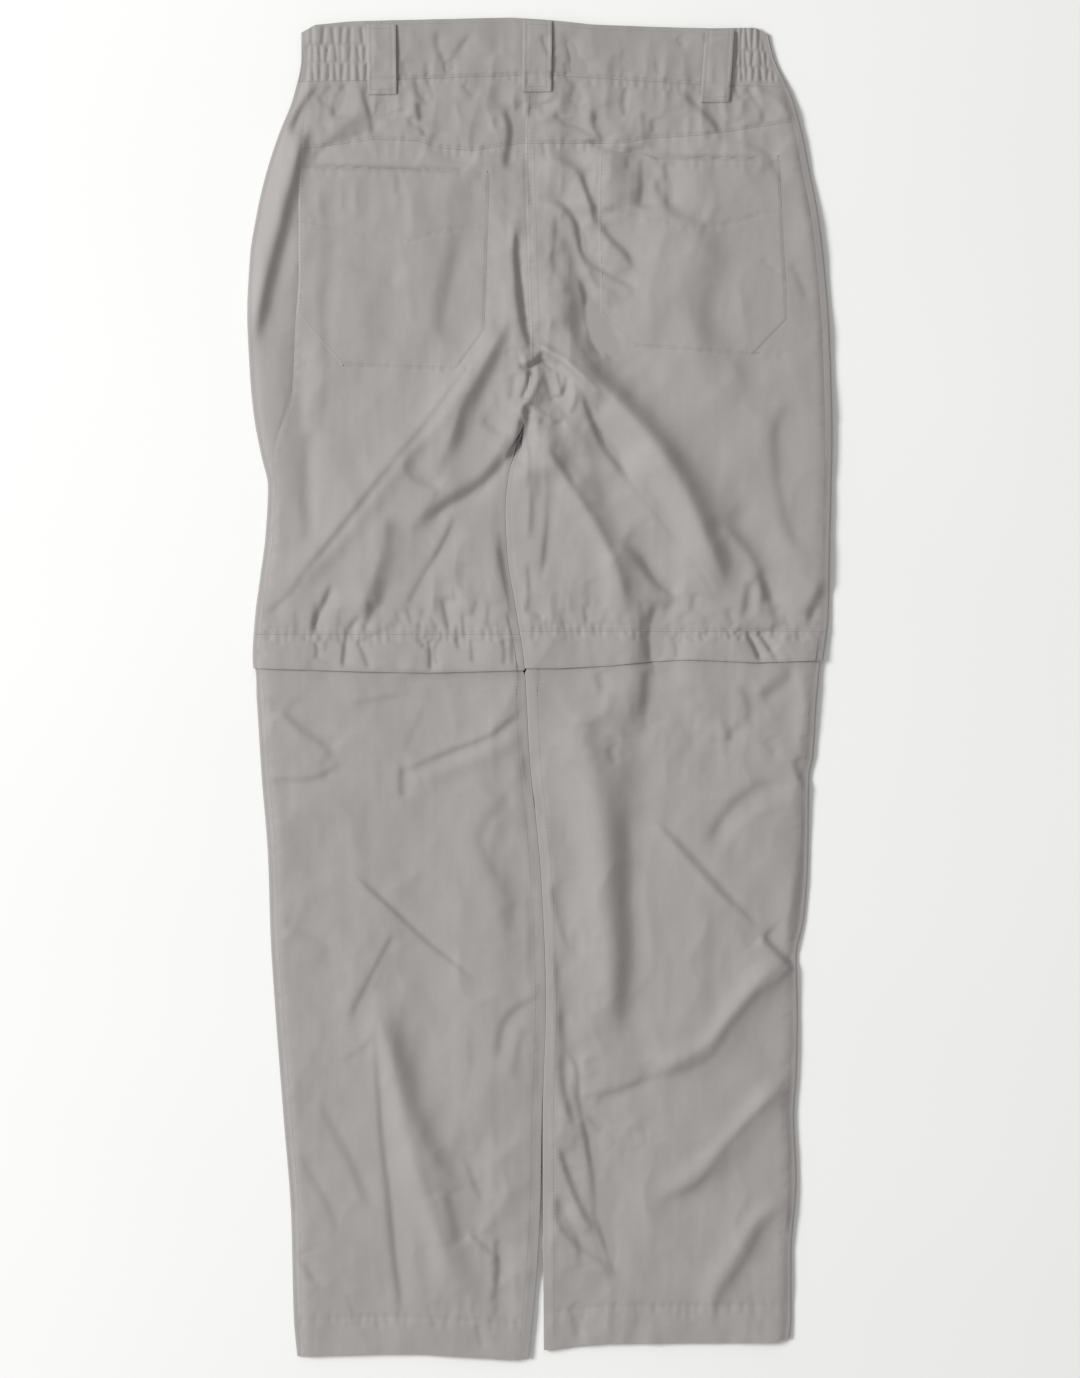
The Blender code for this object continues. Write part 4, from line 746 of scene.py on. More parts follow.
def ends_fade(along: np.ndarray, share: float) -> np.ndarray:
    """1 along a path, falling to 0 over a share of it at each end."""
    return ease(along / share) * ease((1.0 - along) / share)


def leg_share(y: np.ndarray) -> np.ndarray:
    """0 above the crotch, where the two halves are one body, and 1 on the separate legs."""
    return ease((CROTCH_Y - np.asarray(y, float)) / CROTCH_BLEND)


def smooth_path(path: Sequence[Point], spacing: float) -> np.ndarray:
    """Points of a curve that passes through all of a path's.

    Args:
        path: At least two points.
        spacing: Greatest distance between two points of the curve, mm.

    Returns:
        An array of x, y rows.
    """
    knots = np.array(path, float)
    if len(knots) == 2:
        knots = np.array([knots[0], knots.mean(axis=0), knots[1]])
    gaps = np.hypot(*np.diff(knots, axis=0).T)
    at = np.concatenate([[0.0], np.cumsum(gaps)])
    slopes = np.gradient(knots, at, axis=0)
    count = max(4, int(at[-1] / spacing) + 1)
    place = np.linspace(0.0, at[-1], count)
    cell = np.clip(np.searchsorted(at, place, side="right") - 1, 0, len(gaps) - 1)
    t = ((place - at[cell]) / gaps[cell])[:, None]
    return hermite(
        (knots[cell], knots[cell + 1]), (slopes[cell], slopes[cell + 1]), gaps[cell][:, None], t
    )


def between_cells(grid: np.ndarray, row: np.ndarray, column: np.ndarray, soft: bool = False) -> np.ndarray:
    """Values at places between the rows and columns of a grid.

    Args:
        grid: The grid's values.
        row: Each place's row, with its fraction.
        column: Each place's column, with its fraction.
        soft: Whether the values level out at the grid's own rows and columns.

    Returns:
        A value for each place.
    """
    r, c = row.astype(int), column.astype(int)
    fy, fx = (ease(row - r), ease(column - c)) if soft else (row - r, column - c)
    near = grid[r, c] * (1 - fx) + grid[r, c + 1] * fx
    far = grid[r + 1, c] * (1 - fx) + grid[r + 1, c + 1] * fx
    return near * (1 - fy) + far * fy


class Relief:
    """Height of a cloth face over the garment's plan, on a fine grid of places."""

    STEP = 1.0
    LOW = (-240.0, -532.0)
    HIGH = (240.0, 532.0)
    WITHIN = 1.001  # Keeps a place inside the grid's last cell
    PATH_STEP = 4.0
    LEANS = (-0.95, 0.31)  # Where the light comes from, by X and Y
    LEAST_FACING = 0.6
    # A crease: its reach in widths, the share of it that fades at each end, and a crisp crest's form
    CREASE_REACH = 3.2
    END_FADE = 0.2
    CRISP_ROUNDING = 0.25
    CRISP_FALL = 1.7
    # A fall: its reach in run-outs, the share of it that fades at each end, and its slope's form
    FALL_REACH = 2.2
    FALL_FADE = 0.14
    CREST_ROUNDING = 0.35
    CREST_LENGTH = 1.3
    SOFT_STEEPNESS = 1.2
    SPREAD_POWER = 1.5

    def __init__(self, height: np.ndarray | None = None) -> None:
        """Start flat, or from a copy of another relief's heights.

        Args:
            height: The heights to start from.
        """
        self.xs = np.arange(self.LOW[0], self.HIGH[0] + self.STEP, self.STEP)
        self.ys = np.arange(self.LOW[1], self.HIGH[1] + self.STEP, self.STEP)
        self.x, self.y = np.meshgrid(self.xs, self.ys)
        self.height = np.zeros(self.x.shape) if height is None else height.copy()

    def press(self, creases: Sequence[Crease], strength: float = 1.0, lean: float = 0.0) -> None:
        """Add creases to the cloth.

        Args:
            creases: The folds to add.
            strength: What their heights are multiplied by.
            lean: How much further, in mm, a fold runs out on its long side. Laid cloth leans, so that a
                fold is steep on one side and the cloth comes up to it slowly on the other.
        """
        for crease in creases:
            facing = self.facing(crease.path)
            long_left = (facing > 0) == (crease.height > 0)
            added = lean * abs(facing)
            left, right = crease.left + added * long_left, crease.right + added * (not long_left)
            found = self.measure(crease.path, self.CREASE_REACH * max(left, right))
            if found is None:
                continue
            window, nearest, on_left, along = found
            q = nearest / np.where(on_left, left, right)
            rounding = self.CRISP_ROUNDING
            sharp = np.exp(-self.CRISP_FALL * (np.sqrt(q * q + rounding**2) - rounding))
            soft = sharp if crease.crisp else np.exp(-q * q)
            profile = np.where(on_left == long_left, sharp, soft) if added > 0 else soft
            fade = ends_fade(along, self.END_FADE)
            self.height[window] += strength * crease.height * fade * profile

    def slope(self, falls: Sequence[Fall]) -> None:
        """Add slopes that turn away from the light.

        Args:
            falls: The slopes to add.
        """
        for fall in falls:
            facing = self.facing(fall.path)
            found = self.measure(fall.path, self.FALL_REACH * fall.run_out)
            if found is None:
                continue
            window, nearest, on_left, along = found
            past = np.where(on_left == (facing > 0), -nearest, nearest) / fall.width
            if fall.soft:
                shape = -0.5 * np.tanh(self.SOFT_STEEPNESS * past)
            else:
                down_slope = 0.5 * (past + 1 + np.hypot(past + 1, self.CREST_ROUNDING))
                shape = np.exp(-down_slope / self.CREST_LENGTH) - 0.5
            drop = fall.drop / max(abs(facing), self.LEAST_FACING)
            spread = np.exp(-((nearest / fall.run_out) ** self.SPREAD_POWER))
            self.height[window] += drop * shape * spread * ends_fade(along, self.FALL_FADE)

    def facing(self, path: Sequence[Point]) -> float:
        """How squarely a path's left hand looks towards the light, from -1 to 1."""
        run_x, run_y = path[-1][0] - path[0][0], path[-1][1] - path[0][1]
        return (-run_y * self.LEANS[0] + run_x * self.LEANS[1]) / math.hypot(run_x, run_y)

    def measure(self, path: Sequence[Point], reach: float) -> Surround | None:
        """Find how the places round a path lie to it.

        Args:
            path: Points that the path goes through, mm.
            reach: How far from the path matters, mm.

        Returns:
            The rows and columns round the path, and for each place there its distance from the path,
            whether it is on the left hand, and how far along it is, from 0 to 1. None off the cloth.
        """
        spine = smooth_path(path, self.PATH_STEP)
        (low_x, low_y), (high_x, high_y) = spine.min(axis=0) - reach, spine.max(axis=0) + reach
        window = (
            slice(*np.searchsorted(self.ys, [low_y, high_y])),
            slice(*np.searchsorted(self.xs, [low_x, high_x])),
        )
        x, y = self.x[window], self.y[window]
        if not x.size:
            return None
        nearest = np.full(x.shape, np.inf)
        on_left = np.zeros(x.shape, bool)
        along = np.zeros(x.shape)
        steps = len(spine) - 1
        for step in range(steps):
            run = spine[step + 1] - spine[step]
            from_x, from_y = x - spine[step][0], y - spine[step][1]
            share = np.clip((from_x * run[0] + from_y * run[1]) / (run @ run), 0, 1)
            away = np.hypot(from_x - share * run[0], from_y - share * run[1])
            closer = away < nearest
            nearest = np.where(closer, away, nearest)
            on_left = np.where(closer, run[0] * from_y - run[1] * from_x > 0, on_left)
            along = np.where(closer, (step + share) / steps, along)
        return window, nearest, on_left, along

    def at(self, x: np.ndarray, y: np.ndarray) -> np.ndarray:
        """The height at any places.

        Args:
            x: The places' x, mm.
            y: The places' y, mm.

        Returns:
            The heights, mm.
        """
        x, y = np.broadcast_arrays(np.asarray(x, float), np.asarray(y, float))
        column = np.clip((x - self.LOW[0]) / self.STEP, 0, len(self.xs) - self.WITHIN)
        row = np.clip((y - self.LOW[1]) / self.STEP, 0, len(self.ys) - self.WITHIN)
        return between_cells(self.height, row, column)


def unevenness(shape: tuple[int, int], lengths: Point, seed: int) -> np.ndarray:
    """A soft random relief between about -1 and 1.

    Args:
        shape: Rows and columns wanted.
        lengths: How many rows and columns one swell takes.
        seed: Makes the result the same each run.

    Returns:
        An array of the shape.
    """
    rng = np.random.default_rng(seed)
    knots = rng.uniform(-1, 1, (int(shape[0] / lengths[0]) + 3, int(shape[1] / lengths[1]) + 3))
    row = np.arange(shape[0])[:, None] / lengths[0]
    column = np.arange(shape[1])[None, :] / lengths[1]
    return between_cells(knots, row, column, soft=True)


class Swell(NamedTuple):
    """A random relief: how many mm one swell takes down and across, its height and its seed."""

    lengths: Point
    height: float
    seed: int

    def relief(self, shape: tuple[int, int]) -> np.ndarray:
        """The swells' heights over a grid of a shape, one place to a mm."""
        return self.height * unevenness(shape, self.lengths, self.seed)


@dataclass(frozen=True)
class Leg:
    """One leg: its edges, its pocket's borders and the seams across it, in mm.

    outward is 1 for the leg whose outer edge is on the right and -1 for the other. The two cuts are how
    wide and how tall the pocket's cut corners are. lap is how many mesh columns the outer lap takes.
    """

    side: Side
    outward: int
    outer: tuple[Edge, ...]
    inner: tuple[Edge, ...]
    outseam: tuple[Edge, ...]
    pocket_near: tuple[Edge, ...]
    pocket_far: tuple[Edge, ...] | None
    pocket_top: tuple[Cross, ...]
    pocket_foot: tuple[Cross, ...]
    near_cut: Point
    far_cut: Point
    point_of_facing: tuple[Cross, ...]
    yoke: tuple[Cross, ...]
    knee: float
    flap: tuple[Cross, ...]
    hem: tuple[Cross, ...]
    lap: int

    def outseam_line(self, gap: float = SIDE_GAP) -> Line:
        """Where the back panels end at the outer seam."""
        return lambda y: down(self.outer)(y) - self.outward * (down(self.outseam)(y) + gap)

    def inseam_line(self, gap: float = SIDE_GAP) -> Line:
        """Where the back panels end at the inner seam, or at the middle seam above the crotch."""
        reach = ROLL + LAP
        return lambda y: down(self.inner)(y) + self.outward * (gap + reach * leg_share(y))

    def far_line(self) -> Line:
        """The pocket's edge at the side of the leg."""
        return self.outseam_line(POCKET_INSET) if self.pocket_far is None else down(self.pocket_far)

    def knee_drop(self, y: np.ndarray, x: np.ndarray) -> np.ndarray:
        """How far the lower leg lies below the flap, all of it under the flap and none further down."""
        return KNEE_STEP * ease((y - across(self.flap)(x) + SINK_FROM) / SINK_RUN)

    def sides(self) -> list[Line]:
        """The back panels' inner and outer seams."""
        return [self.inseam_line(), self.outseam_line()]

    def spread(self, y: float, gap: float) -> list[float]:
        """The lower and the higher x of the back panels at one y."""
        return sorted((float(self.inseam_line(gap)(y)), float(self.outseam_line(gap)(y))))


LEFT_LEG = Leg(
    side=Side.LEFT, outward=-1,
    outer=(
        Edge(524, -186), Edge(493, -186), Edge(462, -192), Edge(431, -204), Edge(400, -214),
        Edge(369, -221), Edge(337, -226), Edge(291, -228), Edge(244, -226), Edge(213, -223),
        Edge(181, -217), Edge(158, -212), Edge(119, -214), Edge(88, -218), Edge(57, -222),
        Edge(25, -224), Edge(-6, -221), Edge(-68, -217), Edge(-131, -212), Edge(-193, -210),
        Edge(-255, -206), Edge(-333, -200), Edge(-411, -194), Edge(-489, -192), Edge(-523, -189),
    ),
    inner=LEGS_MEET + (Edge(-337, 1.5), Edge(-391, 0.5), Edge(-446, -2), Edge(-485, -5.5), Edge(-523, -9)),
    outseam=(
        Edge(524, 9), Edge(475, 10), Edge(403, 26), Edge(316, 39), Edge(280, 37), Edge(227, 31),
        Edge(193, 14), Edge(165, 6.2), Edge(-523, 6.2),
    ),
    pocket_near=(Edge(430, -39), Edge(403, -39.5), Edge(293, -43), Edge(240, -45)),
    pocket_far=None,
    pocket_top=(Cross(-188, 406), Cross(-41, 402)),
    pocket_foot=(Cross(-188, 253), Cross(-155, 252), Cross(-65, 248), Cross(-41, 247)),
    near_cut=(22, 32), far_cut=(36, 40),
    point_of_facing=(
        Cross(-186, 364), Cross(-162, 359), Cross(-136, 354), Cross(-116, 348), Cross(-102, 348),
        Cross(-81, 355), Cross(-43, 360),
    ),
    yoke=(
        Cross(-187, 420), Cross(-130, 428), Cross(-97, 427), Cross(-75, 421), Cross(-51, 419),
        Cross(-11, 426),
    ),
    knee=42.5,
    flap=(Cross(-222, 16), Cross(-140, 13.5), Cross(-86, 12.5), Cross(-13, 14.5)),
    hem=(Cross(-189, -520), Cross(-130, -518), Cross(-100, -518), Cross(-23, -522.5), Cross(-9, -521)),
    lap=18,
)
RIGHT_LEG = Leg(
    side=Side.RIGHT, outward=1,
    outer=(
        Edge(524, 175), Edge(493, 182), Edge(462, 196), Edge(431, 205), Edge(400, 211),
        Edge(369, 217), Edge(337, 221), Edge(291, 225), Edge(244, 227), Edge(197, 228),
        Edge(150, 227), Edge(103, 226), Edge(57, 225), Edge(25, 221), Edge(-6, 216),
        Edge(-53, 213), Edge(-68, 210), Edge(-131, 209), Edge(-177, 206), Edge(-209, 200),
        Edge(-255, 201), Edge(-302, 200), Edge(-333, 198), Edge(-380, 200), Edge(-443, 196),
        Edge(-489, 196), Edge(-523, 192),
    ),
    inner=LEGS_MEET + (Edge(-337, 2), Edge(-523, 3)),
    outseam=(Edge(524, 6.2), Edge(-523, 6.2)),
    pocket_near=(Edge(430, 46), Edge(416, 46), Edge(375, 45), Edge(293, 47), Edge(240, 47)),
    pocket_far=(Edge(430, 187), Edge(413, 187), Edge(293, 192), Edge(240, 193)),
    pocket_top=(Cross(46, 418), Cross(80, 417.5), Cross(92, 413), Cross(188, 411.5)),
    pocket_foot=(Cross(46, 268), Cross(72, 267), Cross(163, 260), Cross(193, 259)),
    near_cut=(25, 24), far_cut=(29, 29),
    point_of_facing=(
        Cross(46, 375), Cross(87, 365), Cross(114, 359), Cross(138, 360), Cross(164, 367),
        Cross(190, 374),
    ),
    yoke=(Cross(4, 425), Cross(67, 425), Cross(83, 429), Cross(125, 431), Cross(192, 441)),
    knee=45.0,
    flap=(
        Cross(-20, 16), Cross(15, 16), Cross(55, 18), Cross(88, 21.5), Cross(116, 22.8),
        Cross(170, 20.5), Cross(215, 22),
    ),
    hem=(Cross(3, -515), Cross(24, -512), Cross(47, -510), Cross(180, -509), Cross(192, -506)),
    lap=3,
)
LEGS = (LEFT_LEG, RIGHT_LEG)


class Puckers(NamedTuple):
    """How the thread draws a seam in: the distance between two puckers, and their depth and reach.

    below and above are how far they run to the lower and the higher side of the seam.
    """

    pitch: float
    depth: float
    below: float
    above: float


# Where grooves and puckers begin and end along the longest seams
WAIST_SEAM_SPAN = (-188, 186)
WAIST_PUCKERED = (-110, 122)
MIDDLE_SEAM_SPAN = (474, 215)
MIDDLE_PUCKERED = (230, 470)
OUTSEAM_SPAN = (470, 160)
OUTSEAM_PUCKERED = (HEM_Y + 8, 470)
POCKET_PUCKERED = (285, 400)
# The depth of each seam's groove and half its width
WAIST_SEAM_GROOVE = (0.9, 1.5)
ELASTIC_GROOVE = (1.0, 1.2)
MIDDLE_SEAM_GROOVE = (0.35, 1.4)
YOKE_GROOVE = (0.4, 1.6)
FACING_GROOVE = (0.5, 1.2)
HEM_GROOVE = (0.55, 1.3)
OUTSEAM_GROOVE = (0.5, 1.4)
MOUTH_GROOVE = (2.2, 1.5)
WAIST_SEAM_PUCKERS = Puckers(6.5, 0.7, 7, 5)
MIDDLE_SEAM_PUCKERS = Puckers(9, 0.4, 5, 5)
YOKE_PUCKERS = Puckers(7, 0.55, 6, 5)
FACING_PUCKERS = Puckers(6.5, 0.3, 4, 4)
FOOT_PUCKERS = Puckers(8, 0.3, 3, 4)
MOUTH_PUCKERS = Puckers(9, 0.35, 7, 2)
HEM_PUCKERS = Puckers(8, 0.45, 9, 5)
OUTSEAM_PUCKERS = Puckers(11, 0.4, 5, 4)
POCKET_SIDE_PUCKERS = Puckers(10, 0.3, 4, 4)
KNEE_SEAM_PUCKERS = Puckers(4.8, 0.75, 8, 9)


def seam_puckers(
    line: Line, start: float, stop: float, kind: Puckers, seed: int, level_line: bool = True
) -> list[Crease]:
    """Small troughs across a seam, where the thread draws the cloth in.

    Args:
        line: The seam, as y for x if it is level, and otherwise as x for y.
        start: Where the puckers begin along the seam.
        stop: Where they end.
        kind: Their mean pitch, depth and reach.
        seed: Makes the result the same each run.
        level_line: Whether the seam runs across the garment.

    Returns:
        The puckers, as creases.
    """
    rng = np.random.default_rng(seed)
    made = []
    place = start + kind.pitch * rng.uniform(0.2, 0.9)
    while place < stop:
        middle = float(line(np.array(place)))
        low = middle - kind.below * rng.uniform(0.5, 1.3)
        high = middle + kind.above * rng.uniform(0.5, 1.3)
        lean = rng.uniform(-1.5, 1.5)
        ends = ((place - lean, low), (place, middle), (place + lean, high))
        path = ends if level_line else tuple((b, a) for a, b in ends)
        width = rng.uniform(1.4, 2.3)
        made.append(Crease(-kind.depth * rng.uniform(0.4, 1.4), width, width * 1.2, path))
        place += kind.pitch * rng.uniform(0.6, 1.5)
    return made


def line_groove(
    line: Line, start: float, stop: float, depth: float, reach: float, level_line: bool = True
) -> Crease:
    """The shallow trough that a seam or a row of stitches leaves.

    Args:
        line: The seam, as y for x if it is level, and otherwise as x for y.
        start: Where it begins.
        stop: Where it ends.
        depth: How deep it is.
        reach: Half its width.
        level_line: Whether it runs across the garment.

    Returns:
        The groove, as a crease.
    """
    place = np.linspace(start, stop, 14)
    path = tuple(zip(place, line(place))) if level_line else tuple(zip(line(place), place))
    return Crease(-depth, reach, reach, path)


def elastic_gathers() -> list[Crease]:
    """The gathers of the waistband's sides, drawn in between rows of stitches.

    Returns:
        The gathers and the rows' grooves, as creases.
    """
    made = []
    for rows, zones in ((LEFT_ROWS, LEFT_GATHERS), (RIGHT_ROWS, RIGHT_GATHERS)):
        levels = (GATHERS_TOP, *rows, GATHERS_FOOT)
        for number, places in enumerate(zones):
            high, low = levels[number], levels[number + 1]
            for order, x in enumerate(places):
                lean = GATHER_LEAN * math.sin(GATHER_TURN * order + number)
                path = ((x - lean, low - 1.0), (x, (low + high) / 2), (x + lean, high + 1.0))
                made.append(Crease(*GATHER, path))
        first, last = sorted((zones[1][0], zones[1][-1]))
        span = (first - GATHER_MARGIN, last + GATHER_MARGIN)
        made += [line_groove(level(row), *span, *ELASTIC_GROOVE) for row in rows]
    return made


def leg_lines(leg: Leg, seed: int) -> list[Crease]:
    """Grooves and puckers at one leg's seams and rows of stitches.

    Args:
        leg: The leg.
        seed: Makes the result the same each run.

    Returns:
        The grooves and puckers, as creases.
    """
    inner, outer = sorted((leg.yoke[0].x, leg.yoke[-1].x))
    near, far = sorted((leg.pocket_foot[0].x + 2, leg.pocket_foot[-1].x - 2))
    yoke, facing = across(leg.yoke), across(leg.point_of_facing)
    top, foot, hem = across(leg.pocket_top), across(leg.pocket_foot), across(leg.hem, HEM_DEPTH)
    outseam, pocket_side = leg.outseam_line(0), down(leg.pocket_near)
    hem_ends = sorted((leg.inner[-1].x, leg.outer[-1].x))
    knee_ends = sorted((float(down(leg.inner)(leg.knee)), float(down(leg.outer)(leg.knee))))
    made = [
        line_groove(yoke, inner, outer, *YOKE_GROOVE),
        line_groove(facing, near, far, *FACING_GROOVE),
        line_groove(hem, *hem_ends, *HEM_GROOVE),
        line_groove(outseam, *OUTSEAM_SPAN, *OUTSEAM_GROOVE, level_line=False),
        line_groove(shifted(top, 1.0), near, far, *MOUTH_GROOVE),
    ]
    puckered = (
        (yoke, inner + 6, outer - 6, YOKE_PUCKERS, True),
        (facing, near, far, FACING_PUCKERS, True),
        (foot, near, far, FOOT_PUCKERS, True),
        (top, near, far, MOUTH_PUCKERS, True),
        (hem, *hem_ends, HEM_PUCKERS, True),
        (outseam, *OUTSEAM_PUCKERED, OUTSEAM_PUCKERS, False),
        (pocket_side, *POCKET_PUCKERED, POCKET_SIDE_PUCKERS, False),
        (level(leg.knee), knee_ends[0] + 8, knee_ends[1] - 8, KNEE_SEAM_PUCKERS, True),
    )
    for number, (line, start, stop, kind, level_line) in enumerate(puckered):
        made += seam_puckers(line, start, stop, kind, seed + number, level_line)
    return made


def stitched_lines() -> list[Crease]:
    """Grooves and puckers at every seam and row of stitches on the back.

    Returns:
        The grooves and puckers, as creases.
    """
    waist, middle = across(WAIST_SEAM), down(CENTRE)
    made = [
        line_groove(waist, *WAIST_SEAM_SPAN, *WAIST_SEAM_GROOVE),
        line_groove(middle, *MIDDLE_SEAM_SPAN, *MIDDLE_SEAM_GROOVE, level_line=False),
    ]
    made += elastic_gathers()
    made += seam_puckers(waist, *WAIST_PUCKERED, WAIST_SEAM_PUCKERS, 11)
    made += seam_puckers(middle, *MIDDLE_PUCKERED, MIDDLE_SEAM_PUCKERS, 12, level_line=False)
    for number, leg in enumerate(LEGS):
        made += leg_lines(leg, 20 + 10 * number)
    return made


@dataclass
class LaidCloth:
    """The upper face of the trousers as they lie: one relief for the body, and one for each leg."""

    edge_fall: float = 2.6
    edge_reach: float = 6.0
    # The left leg's, then the right leg's
    inner_fall: Point = (1.5, 0.5)
    inner_reach: Point = (8.0, 5.0)
    swells: tuple[Swell, ...] = (Swell((44, 30), 0.5, 3), Swell((21, 13), 0.3, 4), Swell((9, 5), 0.08, 5))
    folds: tuple[Swell, ...] = (Swell((52, 38), 1.0, 6), Swell((23, 19), 0.35, 7))
    fold_depth: float = 1.5
    crumples: tuple[Swell, ...] = (Swell((26, 15), 1.0, 8), Swell((12, 9), 0.45, 9))
    crumple_depth: float = 1.5
    # How crumpled the cloth is where it is smoothest, and the most that its zones add
    crumpled_range: Point = (0.22, 1.3)
    # One for each table of creases: the calves' folds are the faintest
    strengths: tuple[float, ...] = (0.85, 0.9, 0.9, 0.9, 0.9, 0.6, 0.6)
    lean: float = 7.0
    legs: dict[Side, Relief] = field(default_factory=dict)
    body: Relief = field(default_factory=Relief)

    def form(self) -> None:
        """Work out all three reliefs."""
        body = self.body
        x, y = body.x, body.y
        body.press(MAIN_FORMS)
        for falls in FALLS:
            body.slope(falls)
        for mound in MOUNDS:
            body.height += mound.over(x, y)
        at_hem = HEM_FOLDED + (1 - HEM_FOLDED) * ease((y - HEM_Y) / (2 * EDGE_CALM))
        body.height *= ease((WAIST_Y - y) / EDGE_CALM) * at_hem
        body.height += np.interp(-y, [-row.y for row in STACK], [row.height for row in STACK])
        self.wrinkle()
        for creases, strength in zip(CREASES, self.strengths, strict=True):
            body.press(creases, strength, self.lean)
        body.press(stitched_lines())
        for leg in LEGS:
            depth = leg.outward * (down(leg.outer)(y) - x)
            body.height -= self.edge_fall * hill(np.maximum(depth, 0), self.edge_reach)
        for leg, fall, reach in zip(LEGS, self.inner_fall, self.inner_reach):
            relief = Relief(body.height)
            depth = np.maximum(leg.outward * (x - down(leg.inner)(y)), 0)
            relief.height -= fall * leg_share(y) * hill(depth, reach)
            relief.height = np.maximum(relief.height, LOWEST)
            self.legs[leg.side] = relief
        body.height = np.maximum(body.height, LOWEST)

    def wrinkle(self) -> None:
        """Add the smallest unevenness, which is random: swells, folds and crumples."""
        body = self.body
        shape = body.x.shape
        for swell in self.swells:
            body.height += swell.relief(shape)
        body.height -= self.fold_depth * np.abs(sum(swell.relief(shape) for swell in self.folds))
        crumpled = sum(zone.over(body.x, body.y) for zone in CRUMPLED)
        fine = sum(np.abs(swell.relief(shape)) for swell in self.crumples)
        least, most = self.crumpled_range
        body.height -= self.crumple_depth * (least + np.minimum(crumpled, most)) * fine


def spaced(lines: Sequence[Line], steps: Sequence[int], index: np.ndarray, place: np.ndarray) -> np.ndarray:
    """Where each grid line lies: evenly spaced steps between each two neighbouring lines.

    Args:
        lines: The lines that the grid follows.
        steps: How many steps lie between each two of them.
        index: The grid line's number at each point.
        place: Where along the lines each point is.

    Returns:
        The coordinate across the lines.
    """
    bounds = np.cumsum([0, *steps])
    span = np.clip(np.searchsorted(bounds, index, side="right") - 1, 0, len(steps) - 1)
    share = (index - bounds[span]) / np.asarray(steps)[span]
    values = np.array([line(place) for line in lines])
    low = np.take_along_axis(values, span[None], 0)[0]
    high = np.take_along_axis(values, span[None] + 1, 0)[0]
    return mix(low, high, share)


def panel_plan(
    columns: Sequence[Line], rows: Sequence[Line], column_steps: Sequence[int], row_steps: Sequence[int]
) -> tuple[np.ndarray, np.ndarray]:
    """x and y of a grid whose lines follow the given lines down and across the garment.

    Args:
        columns: Lines down the panel, its two sides among them.
        rows: The lines across it, from the top.
        column_steps: How many mesh steps lie between each two of the columns.
        row_steps: How many mesh steps lie between each two of the rows.

    Returns:
        Two arrays.
    """
    row, column = np.meshgrid(
        np.arange(sum(row_steps) + 1), np.arange(sum(column_steps) + 1), indexing="ij"
    )
    x = np.zeros(row.shape)
    y = spaced(rows, row_steps, row, x)
    for _ in range(PASSES):
        x = spaced(columns, column_steps, column, y)
        y = spaced(rows, row_steps, row, x)
    return x, y


def points(x: np.ndarray, y: np.ndarray, z: np.ndarray) -> np.ndarray:
    """One array of points from three of coordinates."""
    return np.stack(np.broadcast_arrays(x, y, z), axis=-1)


def lengths_along(line: np.ndarray) -> np.ndarray:
    """How far along a line each of its points lies."""
    return np.concatenate([[0.0], np.cumsum(np.linalg.norm(np.diff(line, axis=0), axis=1))])


def activate(piece: bpy.types.Object) -> None:
    """Select one object and make it the active one."""
    bpy.ops.object.select_all(action="DESELECT")
    piece.select_set(True)
    bpy.context.view_layer.objects.active = piece


def settle(piece: bpy.types.Object, kind: str, **settings: object) -> None:
    """Add a modifier to a piece and apply it.

    Args:
        piece: The piece.
        kind: The modifier's type.
        settings: The modifier's own settings.
    """
    activate(piece)
    modifier = piece.modifiers.new(kind.title(), kind)
    for name, value in settings.items():
        setattr(modifier, name, value)
    bpy.ops.object.modifier_apply(modifier=modifier.name)


def lay_cloth(name: str, outside: np.ndarray, wall: float, faces_up: bool = True) -> bpy.types.Object:
    """Lay a grid of cloth on points and give it its thickness.

    Args:
        name: The piece's name.
        outside: Points of its outer face, by row and column, mm.
        wall: The cloth's thickness, mm.
        faces_up: Whether the outer face of its first corner looks up.

    Returns:
        The piece.
    """
    rows, columns = outside.shape[0] - 1, outside.shape[1] - 1
    bpy.ops.object.select_all(action="DESELECT")
    bpy.ops.mesh.primitive_grid_add(x_subdivisions=columns, y_subdivisions=rows, size=1.0)
    piece = bpy.context.active_object
    piece.name = piece.data.name = name
    flat = np.zeros(len(piece.data.vertices) * 3)
    piece.data.vertices.foreach_get("co", flat)
    flat = flat.reshape(-1, 3)
    column = np.rint((flat[:, 0] + 0.5) * columns).astype(int)
    row = np.rint((0.5 - flat[:, 1]) * rows).astype(int)
    piece.data.vertices.foreach_set("co", (outside[row, column] * MM).ravel())
    piece.data.update()
    if (piece.data.polygons[0].normal.z > 0) != faces_up:
        activate(piece)
        bpy.ops.object.mode_set(mode="EDIT")
        bpy.ops.mesh.select_all(action="SELECT")
        bpy.ops.mesh.flip_normals()
        bpy.ops.object.mode_set(mode="OBJECT")
    settle(piece, "SOLIDIFY", thickness=wall * MM, offset=-1.0)
    bpy.ops.object.shade_smooth_by_angle(angle=math.radians(CLOTH_SMOOTH_ANGLE))
    return piece


def cut_of(outside: np.ndarray) -> tuple[Point, float]:
    """A panel's flat size: its greatest width and length along the cloth, and its area.

    Args:
        outside: Points of its outer face, by row and column, mm.

    Returns:
        The width and length in metres, and the area in square metres.
    """
    width = np.linalg.norm(np.diff(outside, axis=1), axis=-1).sum(axis=1).max() * MM
    length = np.linalg.norm(np.diff(outside, axis=0), axis=-1).sum(axis=0).max() * MM
    diagonals = outside[1:, 1:] - outside[:-1, :-1], outside[1:, :-1] - outside[:-1, 1:]
    return (width, length), float(np.linalg.norm(np.cross(*diagonals), axis=-1).sum() / 2 * MM * MM)


